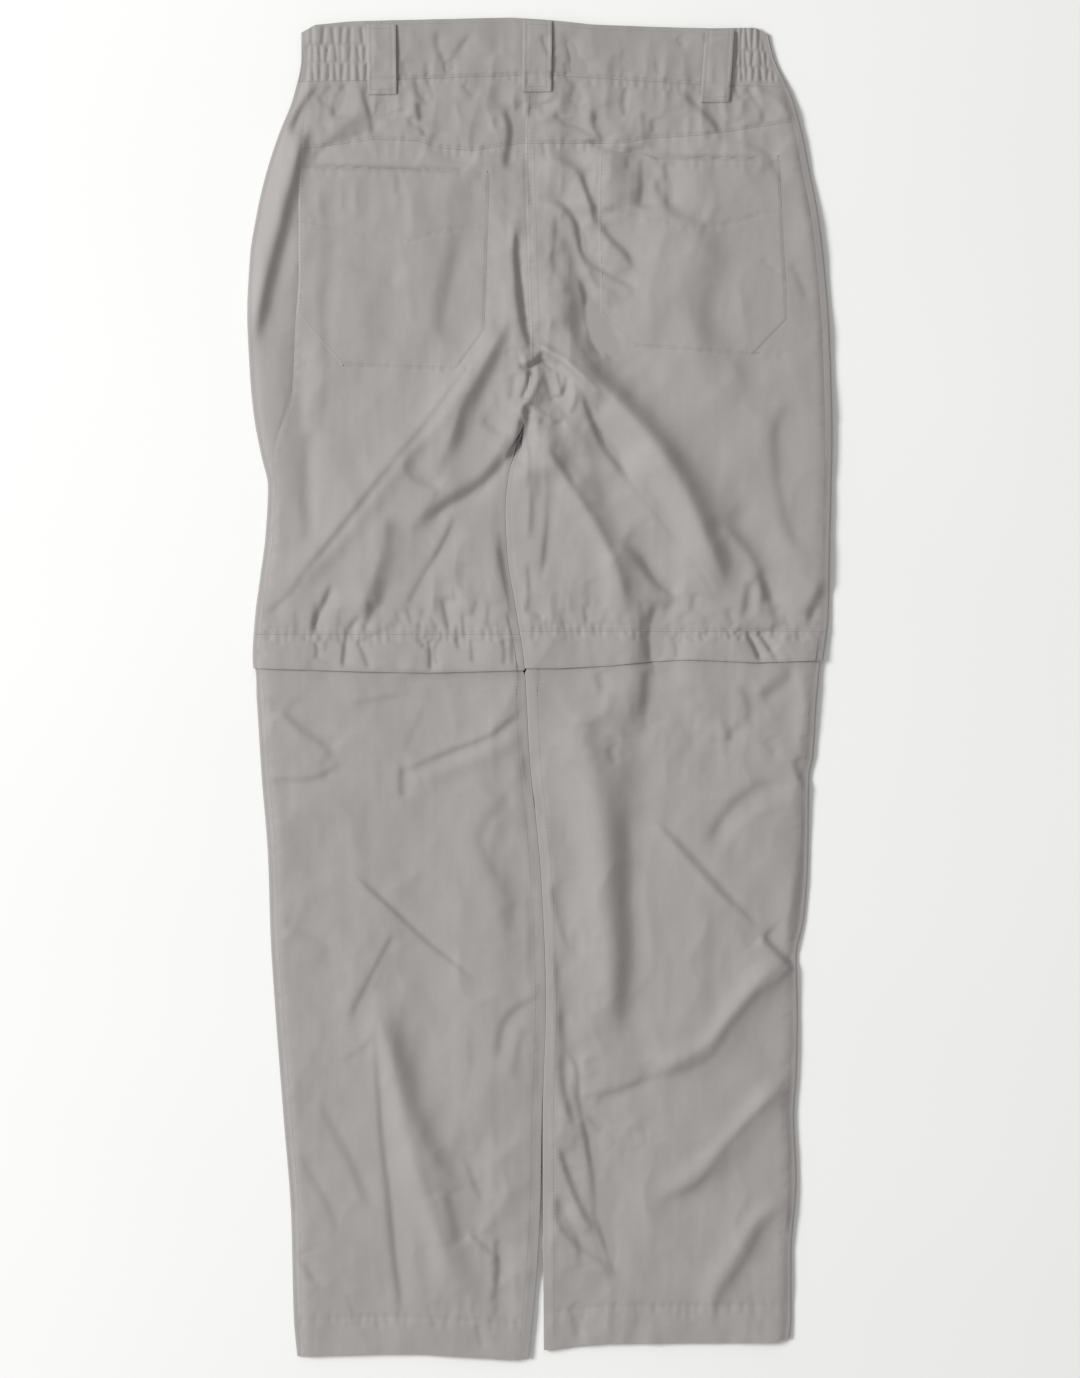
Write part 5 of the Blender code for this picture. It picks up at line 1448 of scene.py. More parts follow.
def linear(hex_colour: str) -> tuple[float, float, float, float]:
    """A colour for a socket from its sRGB hex."""
    parts = (int(hex_colour[place : place + 2], 16) / 255 for place in (1, 3, 5))
    return (*(c / 12.92 if c <= 0.04045 else ((c + 0.055) / 1.055) ** 2.4 for c in parts), 1.0)


def add_node(
    tree: bpy.types.NodeTree, kind: str, inputs: dict[str | int, object] | None = None, **settings: object
) -> bpy.types.Node:
    """Add a node to a material.

    Args:
        tree: The material's node tree.
        kind: The node's type.
        inputs: A value for each socket, or another node's output to link to it.
        settings: The node's own settings.

    Returns:
        The node.
    """
    node = tree.nodes.new(kind)
    for name, value in settings.items():
        setattr(node, name, value)
    for name, value in (inputs or {}).items():
        if isinstance(value, bpy.types.NodeSocket):
            tree.links.new(value, node.inputs[name])
        else:
            node.inputs[name].default_value = value
    return node


def new_material(
    name: str, values: dict[str, float]
) -> tuple[bpy.types.Material, bpy.types.NodeTree, bpy.types.Node]:
    """Start a material.

    Args:
        name: What it is, in words.
        values: A value for each of its shader's sockets.

    Returns:
        The material, its node tree and its shader.
    """
    made = bpy.data.materials.new(name)
    made.use_nodes = True
    shader = made.node_tree.nodes["Principled BSDF"]
    for socket, value in values.items():
        shader.inputs[socket].default_value = value
    return made, made.node_tree, shader


def stretched_noise(
    tree: bpy.types.NodeTree, lengths: tuple[float, float, float], detail: float
) -> bpy.types.NodeSocket:
    """Make random flecks.

    Args:
        tree: The material's node tree.
        lengths: How long a fleck is along X, Y and Z, mm.
        detail: How many finer layers of flecks there are.

    Returns:
        A socket from 0 to 1.
    """
    coordinates = add_node(tree, "ShaderNodeTexCoord")
    scale = tuple(1 / (length * MM) for length in lengths)
    mapped = add_node(tree, "ShaderNodeMapping", {"Vector": coordinates.outputs["Object"], "Scale": scale})
    noise = add_node(
        tree, "ShaderNodeTexNoise",
        {"Vector": mapped.outputs["Vector"], "Scale": 1.0, "Detail": detail, "Roughness": 0.6},
    )
    return noise.outputs["Fac"]


def thread_waves(tree: bpy.types.NodeTree, pitch: float, direction: str) -> bpy.types.NodeSocket:
    """Make fine parallel threads.

    Args:
        tree: The material's node tree.
        pitch: The distance between two threads, mm.
        direction: The axis across them.

    Returns:
        A socket from 0 to 1.
    """
    coordinates = add_node(tree, "ShaderNodeTexCoord")
    # The wave node puts one band into a twentieth of a full turn
    scale = 2 * math.pi / (20 * pitch * MM)
    wave = add_node(
        tree, "ShaderNodeTexWave",
        {
            "Vector": coordinates.outputs["Object"], "Scale": scale,
            "Distortion": 0.9, "Detail": 2.0, "Detail Scale": 0.6,
        },
        wave_type="BANDS", bands_direction=direction,
    )
    return wave.outputs["Fac"]


def combine(tree: bpy.types.NodeTree, how: str, one: object, other: object) -> bpy.types.NodeSocket:
    """The result of a sum on two sockets or numbers."""
    return add_node(tree, "ShaderNodeMath", {0: one, 1: other}, operation=how).outputs[0]


def two_tone(
    tree: bpy.types.NodeTree, shader: bpy.types.Node, share: bpy.types.NodeSocket, tones: tuple[str, str],
    ends: Point = (0.0, 1.0),
) -> None:
    """Colour a shader between two tones.

    Args:
        tree: The material's node tree.
        shader: The shader.
        share: Where between the tones each place lies.
        tones: The dark and the light tone, as sRGB hex.
        ends: The shares at which the tone is fully dark and fully light.
    """
    ramp = add_node(tree, "ShaderNodeValToRGB", {"Fac": share})
    for stop, place, tone in zip(ramp.color_ramp.elements, ends, tones):
        stop.position, stop.color = place, linear(tone)
    tree.links.new(ramp.outputs["Color"], shader.inputs["Base Color"])


def raised(
    tree: bpy.types.NodeTree, height: bpy.types.NodeSocket, depth: float, strength: float = 0.5,
    **over: bpy.types.NodeSocket,
) -> bpy.types.NodeSocket:
    """Raise a surface by a height.

    Args:
        tree: The material's node tree.
        height: The height, from 0 to 1.
        depth: The height's full depth, mm.
        strength: How much of it shows.
        over: The Normal that it lies over, if there is one.

    Returns:
        The surface's normal.
    """
    sockets = {"Height": height, "Strength": strength, "Distance": depth * MM, **over}
    return add_node(tree, "ShaderNodeBump", sockets).outputs["Normal"]


class Flecks(NamedTuple):
    """Uneven yarn: how long a fleck is along X, Y and Z, mm, its finer layers and its share."""

    lengths: tuple[float, float, float]
    detail: float
    share: float


@dataclass(frozen=True)
class WovenNylon:
    """Plain-woven nylon whose uneven yarn leaves fine streaks along the leg."""

    name: str
    dark: str
    light: str
    roughness: float = 0.72
    specular: float = 0.3
    sheen: float = 0.22
    sheen_roughness: float = 0.45
    # Across the leg, along it, the grain and broad clouds
    flecks: tuple[Flecks, ...] = (
        Flecks((16.0, 1.6, 4.0), 2.0, 0.14), Flecks((1.5, 20.0, 4.0), 2.0, 0.2),
        Flecks((1.1, 1.1, 1.1), 2.0, 0.3), Flecks((60.0, 80.0, 60.0), 3.0, 0.3),
    )
    tone_ends: Point = (0.18, 0.78)
    weave_depth: float = 0.05
    slub_depth: float = 0.1
    # The real weave has about four threads to a millimetre, which no picture of the whole garment shows
    weave_pitch: float = 0.6

    def make(self) -> bpy.types.Material:
        """Build the material.

        Returns:
            The material.
        """
        material, tree, shader = new_material(self.name, {
            "Roughness": self.roughness, "Specular IOR Level": self.specular,
            "Sheen Weight": self.sheen, "Sheen Roughness": self.sheen_roughness,
        })
        blend = 0.0
        for kind in self.flecks:
            noise = stretched_noise(tree, kind.lengths, kind.detail)
            blend = combine(tree, "ADD", combine(tree, "MULTIPLY", noise, kind.share), blend)
        two_tone(tree, shader, blend, (self.dark, self.light), self.tone_ends)
        threads = [thread_waves(tree, self.weave_pitch, direction) for direction in "XY"]
        weave = raised(tree, combine(tree, "ADD", *threads), self.weave_depth)
        tree.links.new(raised(tree, blend, self.slub_depth, Normal=weave), shader.inputs["Normal"])
        return material


@dataclass(frozen=True)
class SpunThread:
    """Sewing thread, twisted and a little darker than the cloth."""

    name: str = "spun polyester sewing thread, warm grey"
    dark: str = "#8c8782"
    light: str = "#a6a29e"
    twist: float = 0.5

    def make(self) -> bpy.types.Material:
        """Build the material."""
        material, tree, shader = new_material(self.name, {"Roughness": 0.7, "Sheen Weight": 0.2})
        noise = stretched_noise(tree, (self.twist,) * 3, 1.0)
        two_tone(tree, shader, noise, (self.dark, self.light), (0.3, 0.7))
        return material


@dataclass(frozen=True)
class Moulded:
    """Moulded plastic with a fine matt grain."""

    name: str
    dark: str
    light: str
    roughness: float
    cloud: float = 4.0
    grain: float = 0.3
    grain_depth: float = 0.05

    def make(self) -> bpy.types.Material:
        """Build the material."""
        material, tree, shader = new_material(self.name, {"Roughness": self.roughness})
        two_tone(tree, shader, stretched_noise(tree, (self.cloud,) * 3, 3.0), (self.dark, self.light))
        grain = stretched_noise(tree, (self.grain,) * 3, 2.0)
        tree.links.new(raised(tree, grain, self.grain_depth, 0.25), shader.inputs["Normal"])
        return material


@dataclass(frozen=True)
class PaperFloor:
    """Matt white paper with faint broad clouds."""

    name: str = "matt white paper floor"
    dark: str = "#f4f4f3"
    light: str = "#f8f8f7"
    cloud: float = 300.0

    def make(self) -> bpy.types.Material:
        """Build the material."""
        material, tree, shader = new_material(self.name, {"Roughness": 0.9})
        two_tone(tree, shader, stretched_noise(tree, (self.cloud,) * 3, 1.0), (self.dark, self.light))
        return material


class Finishes:
    """Every finish of the garment, made once."""

    def __init__(self) -> None:
        """Make the materials."""
        # The outer cloth, in panels, patch pockets, gathers and doubled bands. The pockets', gathers' and
        # bands' tones are a shade darker than the panels' as painted shade, standing in for the dimmer light
        # on the top of the garment and in the gathers
        self.cloth = WovenNylon("plain-woven nylon, light warm grey", "#9b9795", "#a8a4a2").make()
        self.pocket = WovenNylon("plain-woven nylon, patch pockets", "#9a9694", "#a7a3a1").make()
        self.elastic = WovenNylon("plain-woven nylon, gathered over elastic", "#999593", "#a6a2a0").make()
        self.band = WovenNylon("plain-woven nylon, waistband and yokes", "#979391", "#a5a19e").make()
        # The zips' tape, a coarser and duller weave
        self.tape = WovenNylon(
            "woven zip tape, grey", "#6f6a67", "#837d79", roughness=0.85, slub_depth=0.04
        ).make()
        # The stitches
        self.thread = SpunThread().make()
        # The waist button
        self.button = Moulded("moulded polyester button, grey", "#6f6a66", "#857f7b", 0.38).make()
        # The zips' teeth
        self.teeth = Moulded("moulded nylon zip teeth, grey", "#6a6662", "#7c7773", 0.42).make()


@dataclass
class Assembly:
    """What every part of the garment is built with."""

    cloth: LaidCloth
    finishes: Finishes

    def dress(self, piece: bpy.types.Object, finish: bpy.types.Material, slot: str, *nodes: str) -> None:
        """Give a piece its finish and its place in the frame.

        Args:
            piece: The piece.
            finish: Its material.
            slot: Not used.
            nodes: The CAD nodes that it stands for.
        """
        piece.data.materials.clear()
        piece.data.materials.append(finish)
        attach(piece, "root")
        if nodes:
            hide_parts(*nodes)
        LOG.info("%s: %d faces", piece.name, len(piece.data.polygons))

    def panel(
        self, node: str, outside: np.ndarray, wall: float, rests_on: Sequence[str],
        finish: bpy.types.Material, slot: str = "cloth", gathered: float = 1.0, faces_up: bool = True,
    ) -> None:
        """Args:
            node: The CAD node that it stands for.
            outside: Points of its outer face, by row and column, mm.
            wall: Its thickness, mm.
            rests_on: What it lies on; not used.
            finish: Its material.
            slot: Handed on to dress, which does not use it.
            gathered: How many times wider the cut is than the sewn piece.
            faces_up: Whether its outer face looks up.
        """
        piece = lay_cloth(f"cloth_{node}", outside, wall, faces_up)
        self.dress(piece, finish, slot, node)
        (width, length), area = cut_of(outside)
        flat = (width * gathered, length)
        area = min(area * gathered, flat[0] * flat[1])

    def top(self, leg: Leg, x: np.ndarray, y: np.ndarray) -> np.ndarray:
        """Height of one leg's upper face."""
        return self.cloth.legs[leg.side].at(x, y)


def span_of(steps: Sequence[int], rows: int) -> tuple[np.ndarray, np.ndarray, np.ndarray]:
    """Which span each grid column belongs to and how far along it lies, with each point's row.

    Args:
        steps: Columns in each span.
        rows: Rows in the grid.

    Returns:
        Row numbers, span numbers and shares.
    """
    bounds = np.cumsum([0, *steps])
    row, column = np.meshgrid(np.arange(rows + 1), np.arange(bounds[-1] + 1), indexing="ij")
    span = np.clip(np.searchsorted(bounds, column, side="left") - 1, 0, len(steps) - 1)
    return row, span, (column - bounds[span]) / np.asarray(steps)[span]


def waist_lift(y: np.ndarray) -> np.ndarray:
    """How far the front stands off the table at the waist, where its loops lie under it."""
    return WAIST_LIFT * ease((y - WAIST_LIFT_FROM) / WAIST_LIFT_RUN)


@dataclass
class Waistband(Assembly):
    """The waistband: plain back, gathered sides and plain fronts."""

    roll_steps: int = 8
    under_steps: int = 8
    gathers: float = 1.35
    # How far the fronts wave, and the length of a wave across and down
    wave: float = 0.25
    wave_lengths: Point = (17.0, 13.0)

    def rows(self) -> list[Line]:
        """The band's top edge and its seam."""
        return [across(TOP_EDGE), across(WAIST_SEAM, SEAM_GAP)]

    def build(self) -> None:
        """Lay all five pieces."""
        middle, band = down(CENTRE), self.finishes.band
        sides = [level(BAND_LEFT_X + SEAM_GAP), level(BAND_RIGHT_X - SEAM_GAP)]
        x, y = panel_plan(sides, self.rows(), (173,), (35,))
        self.panel(
            "waistband_back", points(x, y, self.cloth.body.at(x, y)), DOUBLE_CLOTH,
            ["waistband_front_left", "waistband_front_right"], band,
        )
        fronts = (
            ("left", level(FRONT_LEFT_X + SEAM_GAP), shifted(middle, -SEAM_GAP)),
            ("right", shifted(middle, SEAM_GAP), level(FRONT_RIGHT_X - SEAM_GAP)),
        )
        for side, left, right in fronts:
            x, y = panel_plan([left, right], self.rows(), (39,), (11,))
            waves = np.sin(x / self.wave_lengths[0]) * np.cos(y / self.wave_lengths[1])
            outside = points(x, y, WAIST_LIFT + self.wave * (1 + waves))
            self.panel(
                f"waistband_front_{side}", outside, DOUBLE_CLOTH, ["floor"], band, faces_up=False
            )
        self.elastic(LEFT_LEG, BAND_LEFT_X - SEAM_GAP, FRONT_LEFT_X - SEAM_GAP)
        self.elastic(RIGHT_LEG, BAND_RIGHT_X + SEAM_GAP, FRONT_RIGHT_X + SEAM_GAP)

    def elastic(self, leg: Leg, start: float, under: float) -> None:
        """Lay one gathered side: on top, round the edge and a little way under.

        Args:
            leg: The leg on whose side it is.
            start: The x of its end on top.
            under: The x of its end underneath.
        """
        out, edge = leg.outward, down(leg.outer)
        row, span, t = span_of((50, self.roll_steps, self.under_steps), 40)
        y = spaced(self.rows(), [40], row, np.zeros(row.shape))
        for _ in range(PASSES):
            turn = edge(y) - out * ROLL
            x = np.choose(span, (
                mix(start, turn, t), turn + out * ROLL * np.sin(math.pi * t), mix(turn, under, t),
            ))
            y = spaced(self.rows(), [40], row, x)
        height = self.cloth.body
        angle = math.pi * (0.5 - t)
        top = height.at(turn, y)
        rolled = (top + WAIST_LIFT) / 2 + (top - WAIST_LIFT) / 2 * np.sin(angle)
        z = np.choose(span, (height.at(x, y), rolled, WAIST_LIFT + 0 * x))
        x = np.choose(span, (x, turn + out * ROLL * np.cos(angle), x))
        side = leg.side.value
        self.panel(
            f"waistband_elastic_{side}", points(x, y, z), DOUBLE_CLOTH, [f"front_thigh_{side}"],
            self.finishes.elastic, "elastic_casing", self.gathers,
        )


@dataclass
class BackPanels(Assembly):
    """Everything that lies on top of one leg's front: yoke, thigh, pocket, knee flap and calf."""

    leg: Leg = LEFT_LEG
    crotch_reach: float = 58.0
    crotch_levels: Point = (285.0, 195.0)
    pocket_size: Point = (148.0, 155.0)
    pocket_gap: float = 0.05
    pocket_wall: float = 0.42
    # How far the pocket's edge turns down, and over what distance
    pocket_edge: Point = (0.35, 0.9)
    # How far the pocket's slack mouth stands off, and how far down it does
    mouth_lift: Point = (0.6, 9.0)
    mouth_ends: float = 0.1
    flap_lift: float = 0.5
    flap_flutter: float = 0.5
    flutter_columns: float = 9.0
    flutter_seed: int = 70
    flap_depth: float = 30.0
    # How far the flap's edge turns down, and over what distance
    flap_edge: Point = (0.45, 1.1)
    flap_gathers: float = 1.1

    def build(self) -> None:
        """Lay the five pieces."""
        leg, cloth, band = self.leg, self.finishes.cloth, self.finishes.band
        thigh, calf = f"front_thigh_{leg.side.value}", f"front_calf_{leg.side.value}"
        inseam, outseam = leg.sides()
        # The folds at the crotch are smaller than elsewhere, so the mesh is closer there
        near_crotch = shifted(inseam, leg.outward * self.crotch_reach)
        yoke = (across(WAIST_SEAM, -SEAM_GAP), across(leg.yoke, SEAM_GAP))
        body = (
            across(leg.yoke, -SEAM_GAP), *(level(y) for y in self.crotch_levels), level(leg.knee + SEAM_GAP),
        )
        x, y = panel_plan((inseam, outseam), yoke, (130,), (38,))
        self.lay("back_yoke", x, y, self.top(leg, x, y), thigh, band)
        x, y = panel_plan((inseam, near_crotch, outseam), body, (54, 78), (76, 80, 78))
        self.lay("back_thigh", x, y, self.top(leg, x, y), thigh, cloth)
        self.pocket()
        self.knee_flap()
        lower = [across(leg.flap, UNDER_FLAP), across(leg.flap), across(leg.hem)]
        x, y = panel_plan((inseam, outseam), lower, (110,), (8, 289))
        self.lay("back_calf", x, y, self.top(leg, x, y) - leg.knee_drop(y, x), calf, cloth)

    def lay(
        self, name: str, x: np.ndarray, y: np.ndarray, z: np.ndarray, rests_on: str,
        finish: bpy.types.Material,
    ) -> None:
        """Lay one plain panel of single cloth.

        Args:
            name: Its name, without the side.
            x: Its points' x, by row and column.
            y: Their y.
            z: Their height.
            rests_on: What it lies on.
            finish: Its material.
        """
        self.panel(f"{name}_{self.leg.side.value}", points(x, y, z), CLOTH, [rests_on], finish)

    def pocket_sides(self) -> list[Line]:
        """The pocket's two long edges, which turn inwards along its cut corners.

        Returns:
            The edge near the middle and the edge at the side.
        """
        leg = self.leg
        foot = across(leg.pocket_foot)

        def cut(line: Line, corner: Point, way: int) -> Line:
            """An edge whose last part runs in to the corner's other end."""

            def edge(y: np.ndarray) -> np.ndarray:
                """x of the edge."""
                start = foot(line(y)) + corner[1]
                return line(y) + way * corner[0] * np.clip((start - y) / corner[1], 0, 1)

            return edge

        near = cut(down(leg.pocket_near), leg.near_cut, leg.outward)
        return [near, cut(leg.far_line(), leg.far_cut, -leg.outward)]

    def pocket(self) -> None:
        """Lay the patch pocket: double cloth with a turned edge, and a slack mouth."""
        leg = self.leg
        rows = [across(leg.pocket_top), across(leg.pocket_foot)]
        x, y = panel_plan(self.pocket_sides(), rows, (86,), (90,))
        across_share = np.linspace(0, 1, x.shape[1])[None, :]
        down_share = np.linspace(0, 1, x.shape[0])[:, None]
        from_side = np.minimum(across_share, 1 - across_share)
        from_end = np.minimum(down_share, 1 - down_share)
        wide, tall = self.pocket_size
        rim = np.minimum(from_side * wide, from_end * tall)
        z = self.top(leg, x, y) + self.pocket_gap + self.pocket_wall
        z -= self.pocket_edge[0] * hill(rim, self.pocket_edge[1])
        slack = hill(down_share * tall, self.mouth_lift[1]) * ease(from_side / self.mouth_ends)
        z += self.mouth_lift[0] * slack
        self.panel(
            f"back_pocket_{leg.side.value}", points(x, y, z), self.pocket_wall,
            [f"back_thigh_{leg.side.value}"], self.finishes.pocket, "pocket_cloth",
        )

    def knee_flap(self) -> None:
        """Lay the gathered flap, whose free edge stands a little off the calf."""
        leg, side = self.leg, self.leg.side.value
        x, y = panel_plan(leg.sides(), [level(leg.knee - SEAM_GAP), across(leg.flap)], (158,), (23,))
        share = np.linspace(0, 1, x.shape[0])[:, None]
        flutter = unevenness((1, x.shape[1]), (1.0, self.flutter_columns), self.flutter_seed + leg.outward)
        z = self.top(leg, x, y) + ease(share) * (self.flap_lift + self.flap_flutter * flutter)
        z -= self.flap_edge[0] * hill((1 - share) * self.flap_depth, self.flap_edge[1])
        self.panel(
            f"knee_flap_back_{side}", points(x, y, z), DOUBLE_CLOTH,
            [f"knee_zip_{side}", f"back_calf_{side}"], self.finishes.cloth, gathered=self.flap_gathers,
        )


@dataclass
class FrontPanels(Assembly):
    """One leg's front, which lies on the table and rolls round both edges to the seams on top."""

    leg: Leg = LEFT_LEG
    roll_steps: int = 10
    table_steps: int = 28
    inner_lap_steps: int = 2
    squareness: float = 0.7
    inner_squareness: dict[Side, float] = field(
        default_factory=lambda: {Side.LEFT: 0.1, Side.RIGHT: 0.22}
    )
    touch_run: float = 2.0
    # How much of the inner roll's reach the cloth has above the crotch, where there is no roll
    flat_reach: float = 0.75
    slack: float = 1.0
    slack_swells: tuple[Swell, ...] = (Swell((70, 26), 1.0, 91), Swell((40, 38), 1.0, 95))
    slack_gain: float = 2.2
    tape: float = 0.5
    teeth: tuple[float, float, float] = (2.6, 1.3, 0.7)
    tooth_pitch: float = 2.4
    under: Relief = field(default_factory=Relief)

    def form(self) -> None:
        """Work out the soft creases of the side that lies on the table."""
        shape = self.under.x.shape
        one, other = self.slack_swells
        swollen = one._replace(seed=one.seed + self.leg.outward).relief(shape) * other.relief(shape)
        self.under.height = self.slack * np.clip(swollen * self.slack_gain, 0, 1)

    def section(self, y: np.ndarray, span: np.ndarray, t: np.ndarray, shift: Shift) -> Pair:
        """x and z of the panel's outer face.

        Args:
            y: The y of each point.
            span: 0 outer lap, 1 outer roll, 2 table side, 3 inner roll, 4 inner lap.
            t: How far along its span each point lies.
            shift: Gives how far the table side is lifted, the top lowered and the edges drawn in.

        Returns:
            Two arrays.
        """
        leg, out = self.leg, self.leg.outward
        outer, middle = down(leg.outer)(y), down(leg.inner)(y) + out * SIDE_GAP
        lift, drop, inset = shift(y, outer)
        lift_in, drop_in, inset_in = shift(y, middle)
        # Below the flaps the two legs touch again at once
        inset_in = inset_in * ease((y - across(leg.flap)(middle) + self.touch_run) / self.touch_run)
        turn_out = outer - out * (inset + ROLL)
        turn_in = middle + out * (inset_in + ROLL)
        seam = outer - out * (down(leg.outseam)(y) - SIDE_GAP)
        inseam = middle + out * (ROLL + LAP)
        share = leg_share(y)
        angle = math.pi * (0.5 - t)

        def roll(turn: np.ndarray, way: int, rise: np.ndarray, fall: np.ndarray, square: float) -> Pair:
            """x and z round one edge.

            Args:
                turn: The x where the roll begins.
                way: 1 for a roll to the right and -1 to the left.
                rise: How far the table side is lifted.
                fall: How far the top is lowered.
                square: The roll's power: round at 1, and squarer below it.

            Returns:
                Two arrays.
            """
            top = self.top(leg, turn, y) - fall
            side = np.abs(np.cos(angle)) ** square
            tall = np.sign(np.sin(angle)) * np.abs(np.sin(angle)) ** square
            return turn + way * ROLL * side, (top + rise) / 2 + (top - rise) / 2 * tall * way * out

        outer_lap, inner_lap = mix(seam, turn_out, t), mix(turn_in, inseam, t)
        outer_roll = roll(turn_out, out, lift, drop, self.squareness)
        inner_roll = roll(turn_in, -out, lift_in, drop_in, self.inner_squareness[leg.side])
        flat_roll = turn_in - out * ROLL * self.flat_reach * t
        flat_lap = turn_in - out * ROLL * mix(self.flat_reach, 1.0, t)
        x = np.choose(span, (
            outer_lap, outer_roll[0], mix(turn_out, turn_in, t),
            mix(flat_roll, inner_roll[0], share), mix(flat_lap, inner_lap, share),
        ))
        table = mix(lift, lift_in, t) + self.under.at(x, y) * ends_fade(t, 0.25)
        z = np.choose(span, (
            self.top(leg, outer_lap, y) - drop, outer_roll[1], table, mix(lift_in, inner_roll[1], share),
            mix(lift_in, self.top(leg, inner_lap, y) - drop_in, share),
        ))
        return x, z

    def wrap(self, rows: Sequence[Line], row_steps: Sequence[int], shift: Shift) -> np.ndarray:
        """Points of a whole front piece, from the lap on top, under the leg and back up.

        Args:
            rows: Lines across it, from the top.
            row_steps: Mesh rows between each two of them.
            shift: As for section.

        Returns:
            An array of points by row and column.
        """
        spans = (self.leg.lap, self.roll_steps, self.table_steps, self.roll_steps, self.inner_lap_steps)
        row, span, t = span_of(spans, sum(row_steps))
        y = spaced(rows, row_steps, row, np.zeros(row.shape))
        for _ in range(PASSES):
            x, z = self.section(y, span, t, shift)
            y = spaced(rows, row_steps, row, x)
        x, z = self.section(y, span, t, shift)
        return points(x, y, z)

    def build(self) -> None:
        """Lay the thigh, the flap, the calf and the zip."""
        self.form()
        leg, side, cloth = self.leg, self.leg.side.value, self.finishes.cloth
        flap, covered = across(leg.flap), across(leg.flap, UNDER_FLAP)
        body = [across(WAIST_SEAM, -SEAM_GAP), across(leg.yoke), level(leg.knee + SEAM_GAP)]
        pieces = (
            ("front_thigh", body, (16, 116), lambda y, x: (waist_lift(y), 0 * y, 0 * y), CLOTH),
            (
                "knee_flap_front", [level(leg.knee - SEAM_GAP), flap], (16,), lambda y, x: (0 * y,) * 3,
                DOUBLE_CLOTH,
            ),
            (
                "front_calf", [covered, flap, across(leg.hem)], (8, 160),
                lambda y, x: (leg.knee_drop(y, x),) * 3, CLOTH,
            ),
        )
        for name, rows, steps, shift, wall in pieces:
            self.panel(f"{name}_{side}", self.wrap(rows, steps, shift), wall, ["floor"], cloth)
        self.zip_band()

    def zip_band(self) -> None:
        """Lay the zip tape all round under the flaps, with the moulded teeth along its middle."""
        leg, side = self.leg, self.leg.side.value
        rows = [level(leg.knee - ZIP_INSET), across(leg.flap, UNDER_FLAP + 2 * SEAM_GAP)]
        front = self.wrap(rows, (6,), lambda y, x: (0 * y + KNEE_STEP,) * 3)
        x, y = panel_plan(leg.sides(), rows, (68,), (6,))
        back = points(x, y, self.top(leg, x, y) - KNEE_STEP)
        ring = np.concatenate([front, back], axis=1)
        self.panel(
            f"knee_zip_{side}", ring, self.tape, [f"front_calf_{side}"], self.finishes.tape, "zip_tape"
        )
        sewing = Sewing(self.cloth, self.finishes, size=self.teeth)
        middle = ring[len(ring) // 2]
        chain = sewing.copies(f"zip_teeth_{side}", sewing.row_of(middle, self.tooth_pitch), turn=True)
        self.dress(chain, self.finishes.teeth, "zip_tape")


